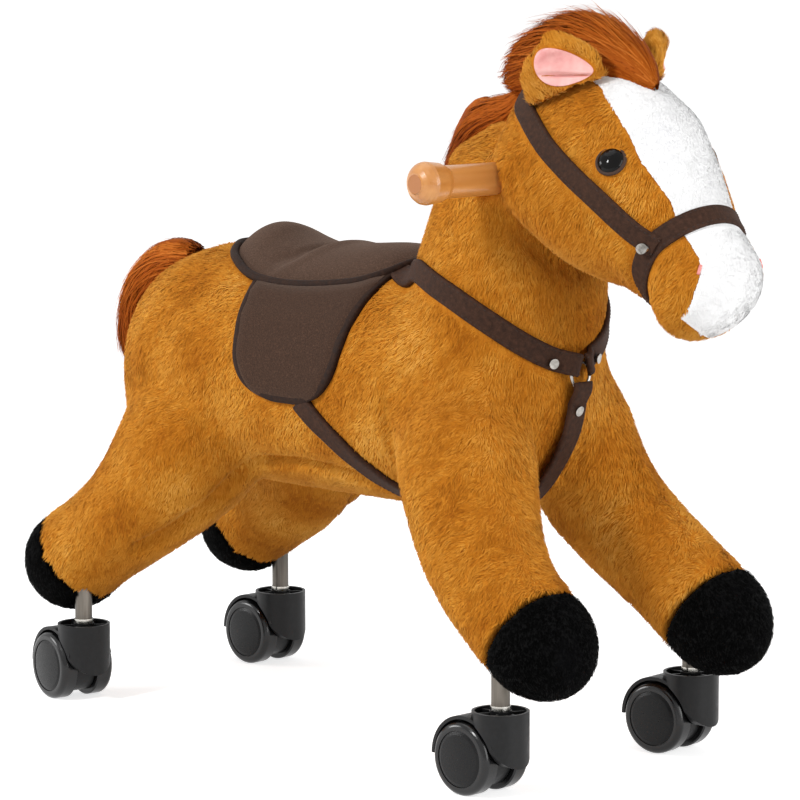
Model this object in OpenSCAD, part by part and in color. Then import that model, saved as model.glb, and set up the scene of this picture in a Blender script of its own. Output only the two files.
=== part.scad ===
// Stuffed ride-on horse on four swivel castors.
// +X points to the nose, +Y to the horse's left and +Z up. The origin is on the floor under the middle.
// Heights of the horse and its frame are measured from the tops of the castors, which carry it.

/* [Stance] */
// Distance between the front and rear castor stems
wheelbase = 436; // [400:2:470]
// Middle of the wheelbase behind the origin
stance_back = 36; // [20:1:50]
// Distance between the two front castor stems
front_track = 188; // [176:2:200]
// Distance between the two rear castor stems
rear_track = 196; // [184:2:208]

/* [Castors] */
// Diameter of a castor wheel
wheel_d = 50; // [44:1:56]
// Width of a castor wheel
wheel_w = 13; // [11:0.5:16]
// Gap between the two wheels of a castor
wheel_gap = 17; // [15:0.5:22]
// Radius of the rim's rounded outer edge
rim_round = 4; // [2:0.5:5]
// Diameter of the wheel's disc
disc_d = 38; // [30:1:40]
// Depth that the disc is let into the wheel
disc_depth = 3; // [2:0.5:5]
// Height of the disc's dome over the wheel's face
disc_dome = 1.4; // [0.5:0.1:2]
// Distance from the swivel axis back to the axle
trail = 18; // [15:0.5:22]
// Diameter of the castor's hood
hood_d = 39; // [35:1:44]
// Height of the hood's top over the fender
hood_over = 4; // [2:0.5:8]
// Height of the hood's round lower end above the floor
hood_low = 21; // [16:1:26]
// Wall of the hood
hood_wall = 2; // [1.5:0.1:3]
// Depth of the recess in the hood's top
hood_recess = 5; // [3:0.5:7]
// Number of ribs in the recess
rib_count = 6; // [4:1:8]
// Thickness of a rib
rib_w = 1.2; // [0.8:0.1:2]
// Wall round the stem
boss_wall = 2.6; // [1.5:0.1:4]
// Space between a wheel's tread and the hood's arch
arch_gap = 1.6; // [1:0.1:3]
// Web between the wheels inside their treads
web_inset = 4; // [2:0.5:7]
// Thickness of the fender over the wheels
fender_t = 2.4; // [1.5:0.1:3]
// Width of the fender
fender_w = 36; // [32:1:40]
// Diameter of the axle
axle_d = 6; // [4:0.5:8]
// Diameter of the castor's stem
stem_d = 10; // [8:0.1:10.5]
// Length of stem inside the hood
stem_in_hood = 22; // [16:1:24]
// Length of stem inside the leg tube
stem_in_tube = 34; // [24:1:40]
// Diameter of the stem's collar
collar_d = 14; // [13:0.5:16]
// Thickness of the stem's collar
collar_t = 3; // [2:0.5:5]

/* [Steel frame] */
// Outer diameter of the leg tubes
tube_d = 12.7; // [12:0.1:15]
// Height at which the front leg tubes bend
front_bend_h = 70; // [60:1:80]
// Height at which the rear leg tubes bend
rear_bend_h = 56; // [50:1:66]
// Diameter of the spine and cross tubes
spine_d = 22; // [18:1:26]
// Depth of the spine's axis below the horse's back
spine_deep = 61; // [56:1:68]
// Front cross tube behind the front stems
front_cross_back = 84; // [76:1:92]
// Rear cross tube ahead of the rear stems
rear_cross_ahead = 66; // [58:1:76]
// Length of spine ahead of the front cross tube
spine_over = 28; // [20:1:34]
// Length of a cross tube
cross_len = 116; // [104:1:126]
// Length of the seat board
board_l = 170; // [150:2:184]
// Width of the seat board
board_w = 96; // [80:1:104]
// Thickness of the seat board
board_t = 9; // [6:0.5:12]
// Middle of the seat board ahead of the origin
board_x = -86; // [-96:1:-76]
// Distance between the seat board's bolts
board_bolt_gap = 110; // [90:1:130]
// Depth of the neck post, front to back
post_l = 44; // [38:1:50]
// Thickness of the neck post
post_t = 18; // [14:1:22]
// Forward lean of the neck post
post_lean = 15; // [12:1:18]
// Height of the post's top over the handlebar's axis
post_over_bar = 22; // [18:1:26]
// Length of the bolt that holds the neck post
post_bolt_l = 64; // [50:1:76]
// Diameter of the frame bolts
bolt_d = 6; // [4:0.5:8]
// Across the flats of the bolt heads and nuts
nut_flats = 10; // [9:0.5:13]
// Thickness of a bolt head or nut
nut_t = 4; // [3:0.5:6]

/* [Handlebar] */
// Handlebar behind the front stems
bar_back = 44; // [38:1:50]
// Height of the handlebar's axis over the horse's back
bar_rise = 65; // [59:1:71]
// Length of the handlebar
bar_len = 262; // [246:2:280]
// Diameter of the handlebar
bar_d = 22; // [18:0.5:25]
// Diameter of the knobs
knob_d = 29; // [26:0.5:34]
// Length of a knob
knob_len = 26; // [20:1:32]
// Diameter of the knob's flat end
knob_flat_d = 12.5; // [8:0.5:18]

/* [Body] */
// Rump behind the rear stems
rump_over = 16; // [10:1:22]
// Chest behind the front stems
chest_back = 21; // [15:1:27]
// Widest part of the torso
torso_w = 190; // [182:1:198]
// Deepest part of the torso
torso_h = 175; // [168:1:180]
// Height of the back
back_h = 285; // [281:1:289]
// Width of the neck at its base
neck_w = 146; // [138:1:154]
// Depth of the neck at its base, front to back
neck_d = 142; // [134:1:150]
// Middle of the neck's foot behind the front stems
neck_foot_back = 98; // [92:1:104]
// Middle of the neck's top behind the front stems
neck_top_back = 56; // [52:1:60]
// Depth of the neck's foot below the horse's back
neck_foot_deep = 81; // [75:1:87]
// Height of the neck's top over the horse's back
neck_top_rise = 102; // [96:1:108]

/* [Legs] */
// Front hip behind the front stems
front_hip_back = 90; // [84:1:96]
// Front toe ahead of the front stems
front_toe_ahead = 67; // [62:1:72]
// Height of the front toe
front_toe_h = 26; // [22:1:30]
// Rear hip ahead of the rear stems
rear_hip_ahead = 114; // [108:1:120]
// Rear toe behind the rear stems
rear_toe_back = 57; // [52:1:62]
// Height of the rear toe
rear_toe_h = 22; // [18:1:26]
// Height of the front hips over the rear hips, half of it over the torso's middle
hip_step = 19; // [13:1:25]
// Diameter of a front leg at the hoof
front_ankle_d = 76; // [70:1:82]
// Diameter of a rear leg at the hoof
rear_ankle_d = 76; // [70:1:82]
// Swell of a hoof over its ankle
hoof_swell = 1; // [0:0.5:2]
// Sag of the left front hoof below the right one
left_hoof_sag = 7; // [0:1:8]
// Set-back of the left front knee behind the right one
left_knee_back = 24; // [0:1:28]
// Lift of the left rear hoof above the right one
rear_left_lift = 8; // [0:1:12]

/* [Head] */
// Middle of the head ahead of the front stems
head_ahead = 30; // [24:1:36]
// Height of the head's middle over the horse's back
head_rise = 53; // [47:1:59]
// Length of the head
head_l = 230; // [222:1:236]
// Width across the cheeks
head_w = 124; // [118:1:130]
// Depth of the head, forehead to jaw
head_d = 116; // [110:1:122]
// Slope of the face below level
head_slope = 33; // [30:1:36]
// Diameter of an eye
eye_d = 18.5; // [16:0.5:22]
// Depth of an eye's back below the plush
eye_sink = 4; // [3:0.5:6]
// Height of an eye's dome
eye_rise = 5; // [4:0.5:7]
// Angle of the eyes above the head's middle
eye_angle = 37; // [32:1:42]
// Height of an ear
ear_h = 42; // [36:1:50]
// Width of an ear
ear_w = 58; // [50:1:62]
// Thickness of an ear
ear_t = 15; // [12:1:18]
// Outward lean of the ears
ear_splay = 12; // [6:1:18]
// Angle of the ears above the head's middle
ear_angle = 45; // [40:1:50]
// Turn of an ear's opening from the side towards the front
ear_turn = 40; // [32:1:48]
// Thickness of an ear's lining
lining_t = 1.2; // [0.8:0.1:2]
// Thickness of the white face patch
blaze_t = 1.4; // [1:0.1:2]
// Half width of the white patch on the forehead
blaze_top = 34; // [28:1:38]
// Half width of the white patch at the noseband
blaze_waist = 22; // [18:1:26]
// Half width of the white patch on the muzzle
blaze_nose = 30; // [26:1:34]

/* [Hair] */
// Width of the mane
mane_w = 32; // [26:1:38]
// Width of the forelock
forelock_w = 72; // [64:1:78]
// Width of the tail
tail_w = 50; // [44:1:56]
// Drop of the tail's tip below the horse's back
tail_drop = 117; // [108:1:126]

/* [Saddle and straps] */
// Length of the saddle seat
seat_l = 188; // [178:1:196]
// Middle of the seat ahead of the origin
seat_x = -74; // [-80:1:-68]
// Width of the saddle seat
seat_w = 126; // [118:1:134]
// Depth of the seat's stuffing
seat_deep = 26; // [22:1:30]
// Height of the seat's cantle over the horse's back
cantle_h = 17; // [13:1:22]
// Height of the seat's hollow over the horse's back
hollow_h = 8; // [6:0.5:11]
// Length of a saddle flap at its top
flap_l = 125; // [114:1:134]
// Middle of a flap's top edge ahead of the origin
flap_x = -34.5; // [-40:0.5:-29]
// Drop of a flap below the horse's back
flap_drop = 98; // [90:1:104]
// Slant of a flap's rear edge
flap_slant_rear = 8; // [4:1:12]
// Slant of a flap's front edge
flap_slant_front = 6; // [2:1:12]
// Radius of a flap's lower corners
flap_round = 38; // [28:1:42]
// Thickness of a flap
flap_t = 4; // [3:0.5:5]
// Width of the body straps
strap_w = 16; // [13:0.5:19]
// Width of the bridle's straps
bridle_w = 14; // [11:0.5:17]
// Thickness of the straps
strap_t = 2.2; // [1.6:0.1:3]
// Diameter of the rivets
rivet_d = 7; // [5:0.5:8]
// Height of a rivet's head
rivet_h = 1.6; // [1:0.1:2.4]
// Turn of the breast collar's rivets from straight ahead
collar_rivet_turn = 16; // [12:1:20]
// Drop of the breast collar's rivets below the horse's back
collar_rivet_drop = 61; // [58:1:64]
// Drop of the breast tie's rivet below the horse's back
tie_rivet_drop = 95; // [90:1:100]
// Outer diameter of the strap ring
ring_d = 20; // [17:0.5:24]
// Thickness of the strap ring's wire
ring_wire = 2.4; // [1.8:0.1:3]

/* [Clearances] */
// Gap between two sewn or stuffed pieces
seam_gap = 0.3; // [0.2:0.05:0.5]
// Radial gap of a turning fit
run_gap = 0.05; // [0.02:0.01:0.09]
// Gap beside a part that turns
side_gap = 0.5; // [0.3:0.1:0.9]

/* [Hidden] */
$fn = 48;

plush = "#b8752a";
hoof_black = "#1a1a1a";
auburn = "#9a4a1c";
dark_cloth = "#3b2a22";
castor_black = "#202022";
steel = "#a8a8a4";
wood = "#c98f55";

// Where the castors stand, and the angle that each happens to be turned to
front_x = wheelbase / 2 - stance_back;
rear_x = front_x - wheelbase;
FRONT_RIGHT = 0;
FRONT_LEFT = 1;
REAR_RIGHT = 2;
REAR_LEFT = 3;
castor_pos = [
  [front_x, -front_track / 2],
  [front_x, front_track / 2],
  [rear_x, -rear_track / 2],
  [rear_x, rear_track / 2]
];
castor_turn = [1, 6, -9, 0];
wheel_r = wheel_d / 2;
arch_r = wheel_r + arch_gap;
hood_top = wheel_r + arch_r + fender_t + hood_over;
web_w = wheel_gap - 2 * side_gap;

// Everything that stands on the castors
module on_castors() {
  translate([0, 0, hood_top]) children();
}
module both_sides() {
  children();
  mirror([0, 1, 0]) children();
}

// Lofted soft forms. A station is [x, y, z, half size sideways, half size upwards].
function smooth(list, t) =
  let (last = len(list) - 1)
  let (i = max(0, min(floor(t), last - 1)))
  let (f = t - i)
  let (p1 = list[i])
  let (p2 = list[i + 1])
  let (p0 = i > 0 ? list[i - 1] : 2 * p1 - p2)
  let (p3 = i + 2 <= last ? list[i + 2] : 2 * p2 - p1)
  0.5 * (2 * p1 + (p2 - p0) * f + (2 * p0 - 5 * p1 + 4 * p2 - p3) * f * f
    + (3 * p1 - p0 - 3 * p2 + p3) * f * f * f);
function xyz(s) = [s[0], s[1], s[2]];
function unit(v) = v / norm(v);
function along(list, t) = unit(xyz(smooth(list, t + 0.01)) - xyz(smooth(list, t - 0.01)));
function sideways(d) = unit([0, 1, 0] - d[1] * d);
// A point of the skin at an angle from +Y, on the section at t, with the size times k and then grown
function skin_point(list, t, angle, k, grow) =
  let (s = smooth(list, t))
  let (d = along(list, t))
  let (across = sideways(d))
  let (upward = cross(d, across))
  xyz(s) + across * cos(angle) * (s[3] * k + grow) + upward * sin(angle) * (s[4] * k + grow);
// Share of the full size at t, where the ends round off over the first and last part of the range
function rounding(t, from, to, cap) =
  let (a = cap[0] > 0 ? min(1, (t - from) / cap[0]) : 1)
  let (b = cap[1] > 0 ? min(1, (to - t) / cap[1]) : 1)
  sqrt(max(0, 1 - pow(1 - a, 2))) * sqrt(max(0, 1 - pow(1 - b, 2)));

// A closed skin through rings, which stand closer together where an end rounds off
module loft(list, from, to, rings, sides, cap = [0, 0], grow = 0) {
  span = to - from;
  even = cap == [0, 0];
  stops = [for (i = [0 : rings]) from + span * (even ? i / rings : (1 - cos(180 * i / rings)) / 2)];
  inner = [for (t = stops) if (rounding(t, from, to, cap) > 0.02) t];
  count = len(inner);
  skin = [
    for (t = inner)
      for (j = [0 : sides - 1])
        skin_point(list, t, 360 * j / sides, rounding(t, from, to, cap), grow)
  ];
  tail_end = xyz(smooth(list, from)) - along(list, from) * (cap[0] > 0 ? grow : 0);
  nose_end = xyz(smooth(list, to)) + along(list, to) * (cap[1] > 0 ? grow : 0);
  first = count * sides;
  top = first - sides;
  wall = [
    for (i = [0 : count - 2])
      for (j = [0 : sides - 1])
        let (a = i * sides + j)
        let (b = i * sides + (j + 1) % sides)
        each [[a, b + sides, b], [a, a + sides, b + sides]]
  ];
  ends = [
    for (j = [0 : sides - 1])
      let (next = (j + 1) % sides)
      each [[first, j, next], [first + 1, top + next, top + j]]
  ];
  polyhedron(points = concat(skin, [tail_end, nose_end]), faces = concat(wall, ends), convexity = 6);
}

// The torso's sections from rump to chest: shares of its length, and its rise, width and height
rump_x = rear_x - rump_over;
torso_l = front_x - chest_back - rump_x;
torso_mid = back_h - torso_h / 2;
torso_stations = [
  for (s = [
    [0, 0.034, 0.80, 0.84],
    [0.12, 0.017, 0.92, 0.94],
    [0.28, 0, 1.00, 1.00],
    [0.46, 0, 0.98, 1.00],
    [0.64, 0, 0.97, 1.00],
    [0.80, 0, 0.95, 0.98],
    [0.92, 0, 0.86, 0.92],
    [1, -0.023, 0.72, 0.80]
  ])
  [rump_x + s[0] * torso_l, 0, torso_mid + s[1] * torso_h, s[2] * torso_w / 2, s[3] * torso_h / 2]
];
module torso_form(grow = 0) {
  loft(torso_stations, 0, 7, 14, 24, [1.4, 2.0], grow);
}

// The neck leans forward from inside the torso into the head.
// Its sections: shares of the way forward and of the way up, and of its width and depth
neck_forward = neck_foot_back - neck_top_back;
neck_tall = neck_foot_deep + neck_top_rise;
neck_foot_x = front_x - neck_foot_back;
neck_foot_h = back_h - neck_foot_deep;
neck_stations = [
  for (s = [
    [0, 0, 1.00, 1.00],
    [0.211, 0.262, 0.99, 0.99],
    [0.421, 0.508, 0.90, 0.90],
    [0.632, 0.754, 0.80, 0.80],
    [1, 1, 0.68, 0.62]
  ])
  [neck_foot_x + s[0] * neck_forward, 0, neck_foot_h + s[1] * neck_tall, s[2] * neck_w / 2, s[3] * neck_d / 2]
];
module neck_form(grow = 0) {
  loft(neck_stations, 0, 4, 7, 24, [0, 1], grow);
}

// The head's sections from poll to nose, along its own slope:
// shares of its length, and its rise, width and depth
head_stations = [
  for (s = [
    [-0.50, -0.095, 0.90, 1.05],
    [-0.30, -0.017, 0.98, 1.21],
    [-0.10, 0.009, 1.00, 1.19],
    [0.10, -0.022, 0.93, 0.97],
    [0.28, -0.078, 0.76, 0.76],
    [0.42, -0.103, 0.70, 0.70],
    [0.50, -0.121, 0.66, 0.66]
  ])
  [s[0] * head_l, 0, s[1] * head_d, s[2] * head_w / 2, s[3] * head_d / 2]
];
module on_head() {
  translate([front_x + head_ahead, 0, back_h + head_rise]) rotate([0, head_slope, 0]) children();
}
module head_shape(grow = 0) {
  loft(head_stations, 0, 6, 14, 24, [2.0, 1.6], grow);
}
module head_form(grow = 0) {
  on_head() head_shape(grow);
}

// A leg from the hip to the toe. side is -1 on the right and 1 on the left.
front_ankle = front_ankle_d / 2;
rear_ankle = rear_ankle_d / 2;
front_hoof = front_ankle + hoof_swell;
rear_hoof = rear_ankle + hoof_swell;
front_hip_h = torso_mid + hip_step / 2;
rear_hip_h = torso_mid - hip_step / 2;
front_stride = front_hip_back + front_toe_ahead;
rear_stride = rear_hip_ahead + rear_toe_back;
// A section's place: its share of the stride, of the track's half width and of the hip's height over the toe
function front_place(along, out, up, side) = [
  front_x - front_hip_back + along * front_stride,
  side * out * front_track / 2,
  front_toe_h + up * (front_hip_h - front_toe_h)
];
function rear_place(along, out, up, side) = [
  rear_x + rear_hip_ahead - along * rear_stride,
  side * out * rear_track / 2,
  rear_toe_h + up * (rear_hip_h - rear_toe_h)
];
// The left front knee is tucked back and its hoof sags, and the left rear hoof is lifted, by a share of each
function front_leg(side) =
  let (sag = side > 0 ? left_hoof_sag : 0)
  let (tuck = side > 0 ? left_knee_back : 0)
  [
    for (s = [
      [0, 0.50, 1, 0, 0, 1.34 * front_ankle, 1.50 * front_ankle],
      [0.140, 0.66, 0.773, 0.5, 0, 1.32 * front_ankle, 1.38 * front_ankle],
      [0.287, 0.80, 0.552, 1, 0, 1.22 * front_ankle, 1.24 * front_ankle],
      [0.420, 0.89, 0.387, 0.8, 0, 1.12 * front_ankle, 1.12 * front_ankle],
      [0.567, 0.92, 0.254, 0.25, 0.4, 1.03 * front_ankle, 1.03 * front_ankle],
      [0.707, 0.925, 0.160, 0, 0.8, front_hoof, front_hoof],
      [0.847, 0.93, 0.083, 0, 1, front_hoof, front_hoof],
      [1, 0.935, 0, 0, 1, front_ankle, front_ankle]
    ])
    concat(front_place(s[0], s[1], s[2], side) - [s[3] * tuck, 0, s[4] * sag], [s[5], s[6]])
  ];
function rear_leg(side) =
  let (lift = side > 0 ? rear_left_lift : 0)
  [
    for (s = [
      [0, 0.46, 1, 0, 1.44 * rear_ankle, 1.74 * rear_ankle],
      [0.135, 0.62, 0.747, 0, 1.40 * rear_ankle, 1.54 * rear_ankle],
      [0.298, 0.74, 0.530, 0, 1.22 * rear_ankle, 1.28 * rear_ankle],
      [0.497, 0.82, 0.349, 0.3, 1.06 * rear_ankle, 1.06 * rear_ankle],
      [0.673, 0.86, 0.229, 0.6, rear_ankle, rear_ankle],
      [0.766, 0.88, 0.163, 0.8, rear_hoof, rear_hoof],
      [0.877, 0.89, 0.084, 1, rear_hoof, rear_hoof],
      [1, 0.90, 0, 1, rear_ankle, rear_ankle]
    ])
    concat(rear_place(s[0], s[1], s[2], side) + [0, 0, s[3] * lift], [s[4], s[5]])
  ];
hoof_at = 5;
hoof_seam = 0.014;
function leg_stations(i) = i < REAR_RIGHT ? front_leg(2 * i - 1) : rear_leg(2 * i - 5);
module leg_form(i, grow = 0) {
  loft(leg_stations(i), 0, hoof_at, 11, 20, [1.2, 0], grow);
}

// The steel frame
tube_low = side_gap + collar_t;
spine_h = back_h - spine_deep;
bar_h = back_h + bar_rise;
front_cross_x = front_x - front_cross_back;
rear_cross_x = rear_x + rear_cross_ahead;
spine_front_x = front_cross_x + spine_over;
module rod(a, b, d) {
  run = b - a;
  translate(a)
    rotate([0, acos(run[2] / norm(run)), atan2(run[1], run[0])])
      cylinder(d = d, h = norm(run));
}
// A leg tube's outside: up from the castor, round a bend and in to the end of a cross tube
module tube_path(i, d) {
  front = i < REAR_RIGHT;
  foot = castor_pos[i];
  side = foot[1] < 0 ? -1 : 1;
  low = [foot[0], foot[1], tube_low];
  bend = [foot[0], foot[1], front ? front_bend_h : rear_bend_h];
  high = [front ? front_cross_x : rear_cross_x, side * (cross_len - tube_d) / 2, spine_h];
  rod(low, bend, d);
  rod(bend, high, d);
  translate(bend) sphere(d = d);
}
module tube_room(i) {
  tube_path(i, tube_d + 2 * seam_gap, $fn = 24);
}
module leg_tube(i) {
  color(steel) difference() {
    tube_path(i, tube_d);
    cross_tube(i < REAR_RIGHT ? front_cross_x : rear_cross_x, spine_d);
    translate([castor_pos[i][0], castor_pos[i][1], tube_low - side_gap])
      cylinder(d = stem_d + 2 * run_gap, h = stem_in_tube + 2 * side_gap);
  }
}
module cross_tube(x, d) {
  translate([x, -cross_len / 2, spine_h]) rotate([-90, 0, 0]) cylinder(d = d, h = cross_len);
}
module spine_tubes(d) {
  cross_tube(front_cross_x, d);
  cross_tube(rear_cross_x, d);
  rod([rear_cross_x, 0, spine_h], [spine_front_x, 0, spine_h], d);
}
module frame_spine() {
  color(steel) difference() {
    spine_tubes(spine_d);
    bolt_shanks(bolt_d + 2 * run_gap);
  }
}
bar_x = front_x - bar_back;
board_low = spine_h + spine_d / 2;
spine_low = spine_h - spine_d / 2;
post_foot_x = bar_x - (bar_h - spine_h) * tan(post_lean);
board_bolt_x = [board_x - board_bolt_gap / 2, board_x + board_bolt_gap / 2];
module board_block(grow = 0) {
  translate([board_x - board_l / 2 - grow, -board_w / 2 - grow, board_low - grow])
    cube([board_l + 2 * grow, board_w + 2 * grow, board_t + 2 * grow]);
}
module post_block(grow = 0) {
  below = (bar_h - spine_h) / cos(post_lean);
  translate([bar_x, 0, bar_h]) rotate([0, post_lean, 0])
    translate([-post_l / 2 - grow, -post_t / 2 - grow, -below])
      cube([post_l + 2 * grow, post_t + 2 * grow, below + post_over_bar + grow]);
}
// Upright shanks: two through the seat board and the spine, one up through the spine into the post
module bolt_shanks(d) {
  for (x = board_bolt_x)
    translate([x, 0, spine_low - nut_t]) cylinder(d = d, h = spine_d + board_t + nut_t);
  translate([post_foot_x, 0, spine_low]) cylinder(d = d, h = post_bolt_l);
}
module hexagon(x, z, grow) {
  translate([x, 0, z - grow])
    cylinder(d = (nut_flats + 2 * grow) / cos(30), h = nut_t + 2 * grow, $fn = 6);
}
module bolt_heads(grow = 0) {
  for (x = board_bolt_x)
    hexagon(x, board_low + board_t, grow);
  hexagon(post_foot_x, spine_low - nut_t, grow);
}
module nut_blocks(grow = 0) {
  for (x = board_bolt_x)
    hexagon(x, spine_low - nut_t, grow);
}
module seat_board() {
  color(wood) difference() {
    board_block();
    bolt_shanks(bolt_d + 2 * run_gap);
  }
}
module neck_post() {
  color(wood) difference() {
    post_block();
    spine_tubes(spine_d);
    bolt_shanks(bolt_d + 2 * run_gap);
    bar_hole(run_gap);
  }
}
module frame_bolts() {
  color(steel) {
    bolt_shanks(bolt_d);
    bolt_heads();
  }
}
module frame_nuts() {
  color(steel) difference() {
    nut_blocks();
    bolt_shanks(bolt_d + 2 * run_gap);
  }
}

// The handlebar is a turned dowel with a knob at each end
module bar_profile() {
  half = bar_len / 2;
  bulge = half - 0.38 * knob_len;
  polygon(concat(
    [[0, -half], [knob_flat_d / 2, -half]],
    [for (a = [30 : 15 : 90]) [knob_d / 2 * sin(a), -bulge - (half - bulge) * cos(a)]],
    [[0.5 * (knob_d + 0.35 * (bar_d - knob_d)), knob_len * 0.8 - half], [bar_d / 2, knob_len - half]],
    [[bar_d / 2, half - knob_len], [0.5 * (knob_d + 0.35 * (bar_d - knob_d)), half - knob_len * 0.8]],
    [for (a = [90 : -15 : 30]) [knob_d / 2 * sin(a), bulge + (half - bulge) * cos(a)]],
    [[knob_flat_d / 2, half], [0, half]]
  ));
}
module handlebar() {
  color(wood) translate([bar_x, 0, bar_h]) rotate([90, 0, 0]) rotate_extrude() bar_profile();
}
module bar_hole(grow) {
  translate([bar_x, bar_len / 2, bar_h]) rotate([90, 0, 0]) cylinder(d = bar_d + 2 * grow, h = bar_len);
}

// Stuffed pieces
module torso() {
  color(plush) difference() {
    torso_form();
    for (i = [FRONT_RIGHT : REAR_LEFT]) tube_room(i);
    spine_tubes(spine_d + 2 * seam_gap, $fn = 24);
    board_block(seam_gap);
    post_block(seam_gap);
    bolt_heads(seam_gap);
    nut_blocks(seam_gap);
  }
}
module neck() {
  color(plush) difference() {
    neck_form();
    torso_form(seam_gap);
    head_form(seam_gap);
    post_block(seam_gap);
    bar_hole(seam_gap);
  }
}
module head() {
  color(plush) difference() {
    head_form();
    post_block(seam_gap);
    bar_hole(seam_gap);
    eye_sockets();
  }
}
module leg(i) {
  color(plush) difference() {
    leg_form(i);
    torso_form(seam_gap);
    neck_form(seam_gap);
    tube_room(i);
  }
}
module hoof(i) {
  color(hoof_black) difference() {
    loft(leg_stations(i), hoof_at + hoof_seam, 7, 8, 20, [0, 1.6]);
    tube_room(i);
  }
}

// Hair. The mane follows the neck's crest and the forelock the top of the head.
REAR_ANGLE = 90;
FRONT_ANGLE = 270;
// Its sections: place on the neck, and shares of its width for its lift, half width and half depth
mane_stations = [
  for (s = [
    [4.0, 0.22, 0.38, 0.28],
    [3.6, 0.19, 0.50, 0.47],
    [3.1, 0.19, 0.50, 0.50],
    [2.5, 0.19, 0.44, 0.44],
    [1.9, 0.16, 0.31, 0.31]
  ])
  concat(skin_point(neck_stations, s[0], REAR_ANGLE, 1, s[1] * mane_w), [s[2] * mane_w, s[3] * mane_w])
];
module mane() {
  color(auburn) difference() {
    loft(mane_stations, 0, 4, 9, 14, [0.8, 0.9]);
    neck_form(seam_gap);
    head_form(seam_gap);
    forelock_form(seam_gap);
    band_on_head(headpiece_line, bridle_w + 2 * seam_gap);
  }
}
module forelock_form(grow = 0) {
  line = [
    for (s = [
      [-0.600, 0, 0.18, 0.167],
      [-0.505, 0.216, 0.417, 0.361],
      [-0.380, 0.445, 0.46, 0.444],
      [-0.225, 0.590, 0.30, 0.333],
      [-0.115, 0.630, 0.111, 0.167]
    ])
    [s[0] * head_l, 0, s[1] * head_d, s[2] * forelock_w, s[3] * forelock_w]
  ];
  on_head() loft(line, 0, 4, 10, 16, [0.7, 0.7], grow);
}
module forelock() {
  color(auburn) difference() {
    forelock_form();
    head_form(seam_gap);
    both_ears(lining_t + 2 * seam_gap);
    // It ends at the headpiece, so what would lie behind the strap goes too
    for (drop = [0, bridle_w])
      on_head() translate([0, 0, -drop]) band(headpiece_line, bridle_w + 2 * seam_gap);
  }
}
module tail() {
  line = [
    for (s = [
      [0.308, 0.154, 0.32, 0.28],
      [0.051, 0.205, 0.44, 0.38],
      [-0.154, 0.402, 0.50, 0.36],
      [-0.222, 0.684, 0.46, 0.34],
      [-0.231, 1, 0.24, 0.18]
    ])
    [rump_x + s[0] * tail_drop, 0, back_h - s[1] * tail_drop, s[2] * tail_w, s[3] * tail_w]
  ];
  color(auburn) difference() {
    loft(line, 0, 4, 10, 16, [0.6, 1.4]);
    torso_form(seam_gap);
  }
}

// Face. The ears and eyes sit on the head's skin, at a station and an angle from level.
ear_root = skin_point(head_stations, 1.2, 180 - ear_angle, 0.84, 0);
eye_root = skin_point(head_stations, 2.52, 180 - eye_angle, 1, 0);
module at_ear() {
  on_head() translate(ear_root) rotate([0, -head_slope, 0]) rotate([ear_splay, 0, ear_turn]) children();
}
module ear_form(grow = 0) {
  line = [
    [0.05 * ear_h, 0, -0.14 * ear_h, ear_t / 2, 0.43 * ear_w],
    [0.02 * ear_h, 0, 0.30 * ear_h, ear_t / 2, 0.50 * ear_w],
    [-0.05 * ear_h, 0, 0.62 * ear_h, 0.46 * ear_t, 0.42 * ear_w],
    [-0.17 * ear_h, 0, ear_h, 0.40 * ear_t, 0.24 * ear_w]
  ];
  loft(line, 0, 3, 8, 16, [0, 1.3], grow);
}
module both_ears(grow = 0) {
  both_sides() at_ear() ear_form(grow);
}
module ears() {
  color(plush) difference() {
    both_ears();
    head_form(seam_gap);
    band_on_head(headpiece_line, bridle_w + 2 * seam_gap);
  }
}
module lining_outline() {
  mid = [0.05 * ear_w, 0.46 * ear_h];
  polygon([for (a = [0 : 20 : 340]) mid + [0.32 * ear_w * cos(a), 0.28 * ear_h * sin(a)]]);
}
module ear_linings() {
  color("#e8a0a0") difference() {
    both_sides() at_ear() intersection() {
      difference() {
        ear_form(lining_t + seam_gap);
        ear_form(seam_gap);
      }
      rotate([90, 0, 0]) linear_extrude(height = 2 * ear_t) lining_outline();
    }
    head_form(seam_gap);
  }
}
module at_eyes() {
  both_sides() on_head() translate(eye_root) rotate([90 - eye_angle, 0, 0]) children();
}
module eyes() {
  r = eye_d / 2;
  color("#151210") at_eyes() rotate_extrude() polygon(concat(
    [[0, -eye_sink], [r, -eye_sink]],
    [for (a = [0 : 10 : 90]) [r * cos(a), eye_rise * sin(a)]]
  ));
}
module eye_sockets() {
  at_eyes() translate([0, 0, -eye_sink - seam_gap])
    cylinder(d = eye_d + 2 * seam_gap, h = 2 * eye_d, $fn = 24);
}
blaze_outline = [
  [-0.24 * head_l, blaze_top],
  [-0.02 * head_l, 0.5 * (blaze_top + blaze_waist)],
  [0.22 * head_l, blaze_waist],
  [0.36 * head_l, 0.5 * (blaze_waist + blaze_nose)],
  [0.46 * head_l, blaze_nose],
  [0.70 * head_l, blaze_nose]
];
module blaze_prism() {
  near = [for (p = blaze_outline) [p[0], -p[1]]];
  last = len(blaze_outline) - 1;
  far = [for (i = [last : -1 : 0]) blaze_outline[i]];
  translate([0, 0, -0.42 * head_d]) linear_extrude(height = 2 * head_d) polygon(concat(near, far));
}
module face_blaze() {
  color("#f2f0ea") difference() {
    on_head() intersection() {
      difference() {
        head_shape(seam_gap + blaze_t);
        head_shape(seam_gap);
      }
      blaze_prism();
    }
    band_on_head(noseband_line, bridle_w + 2 * seam_gap);
    forelock_form(seam_gap);
    both_ears(seam_gap);
  }
}

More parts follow.
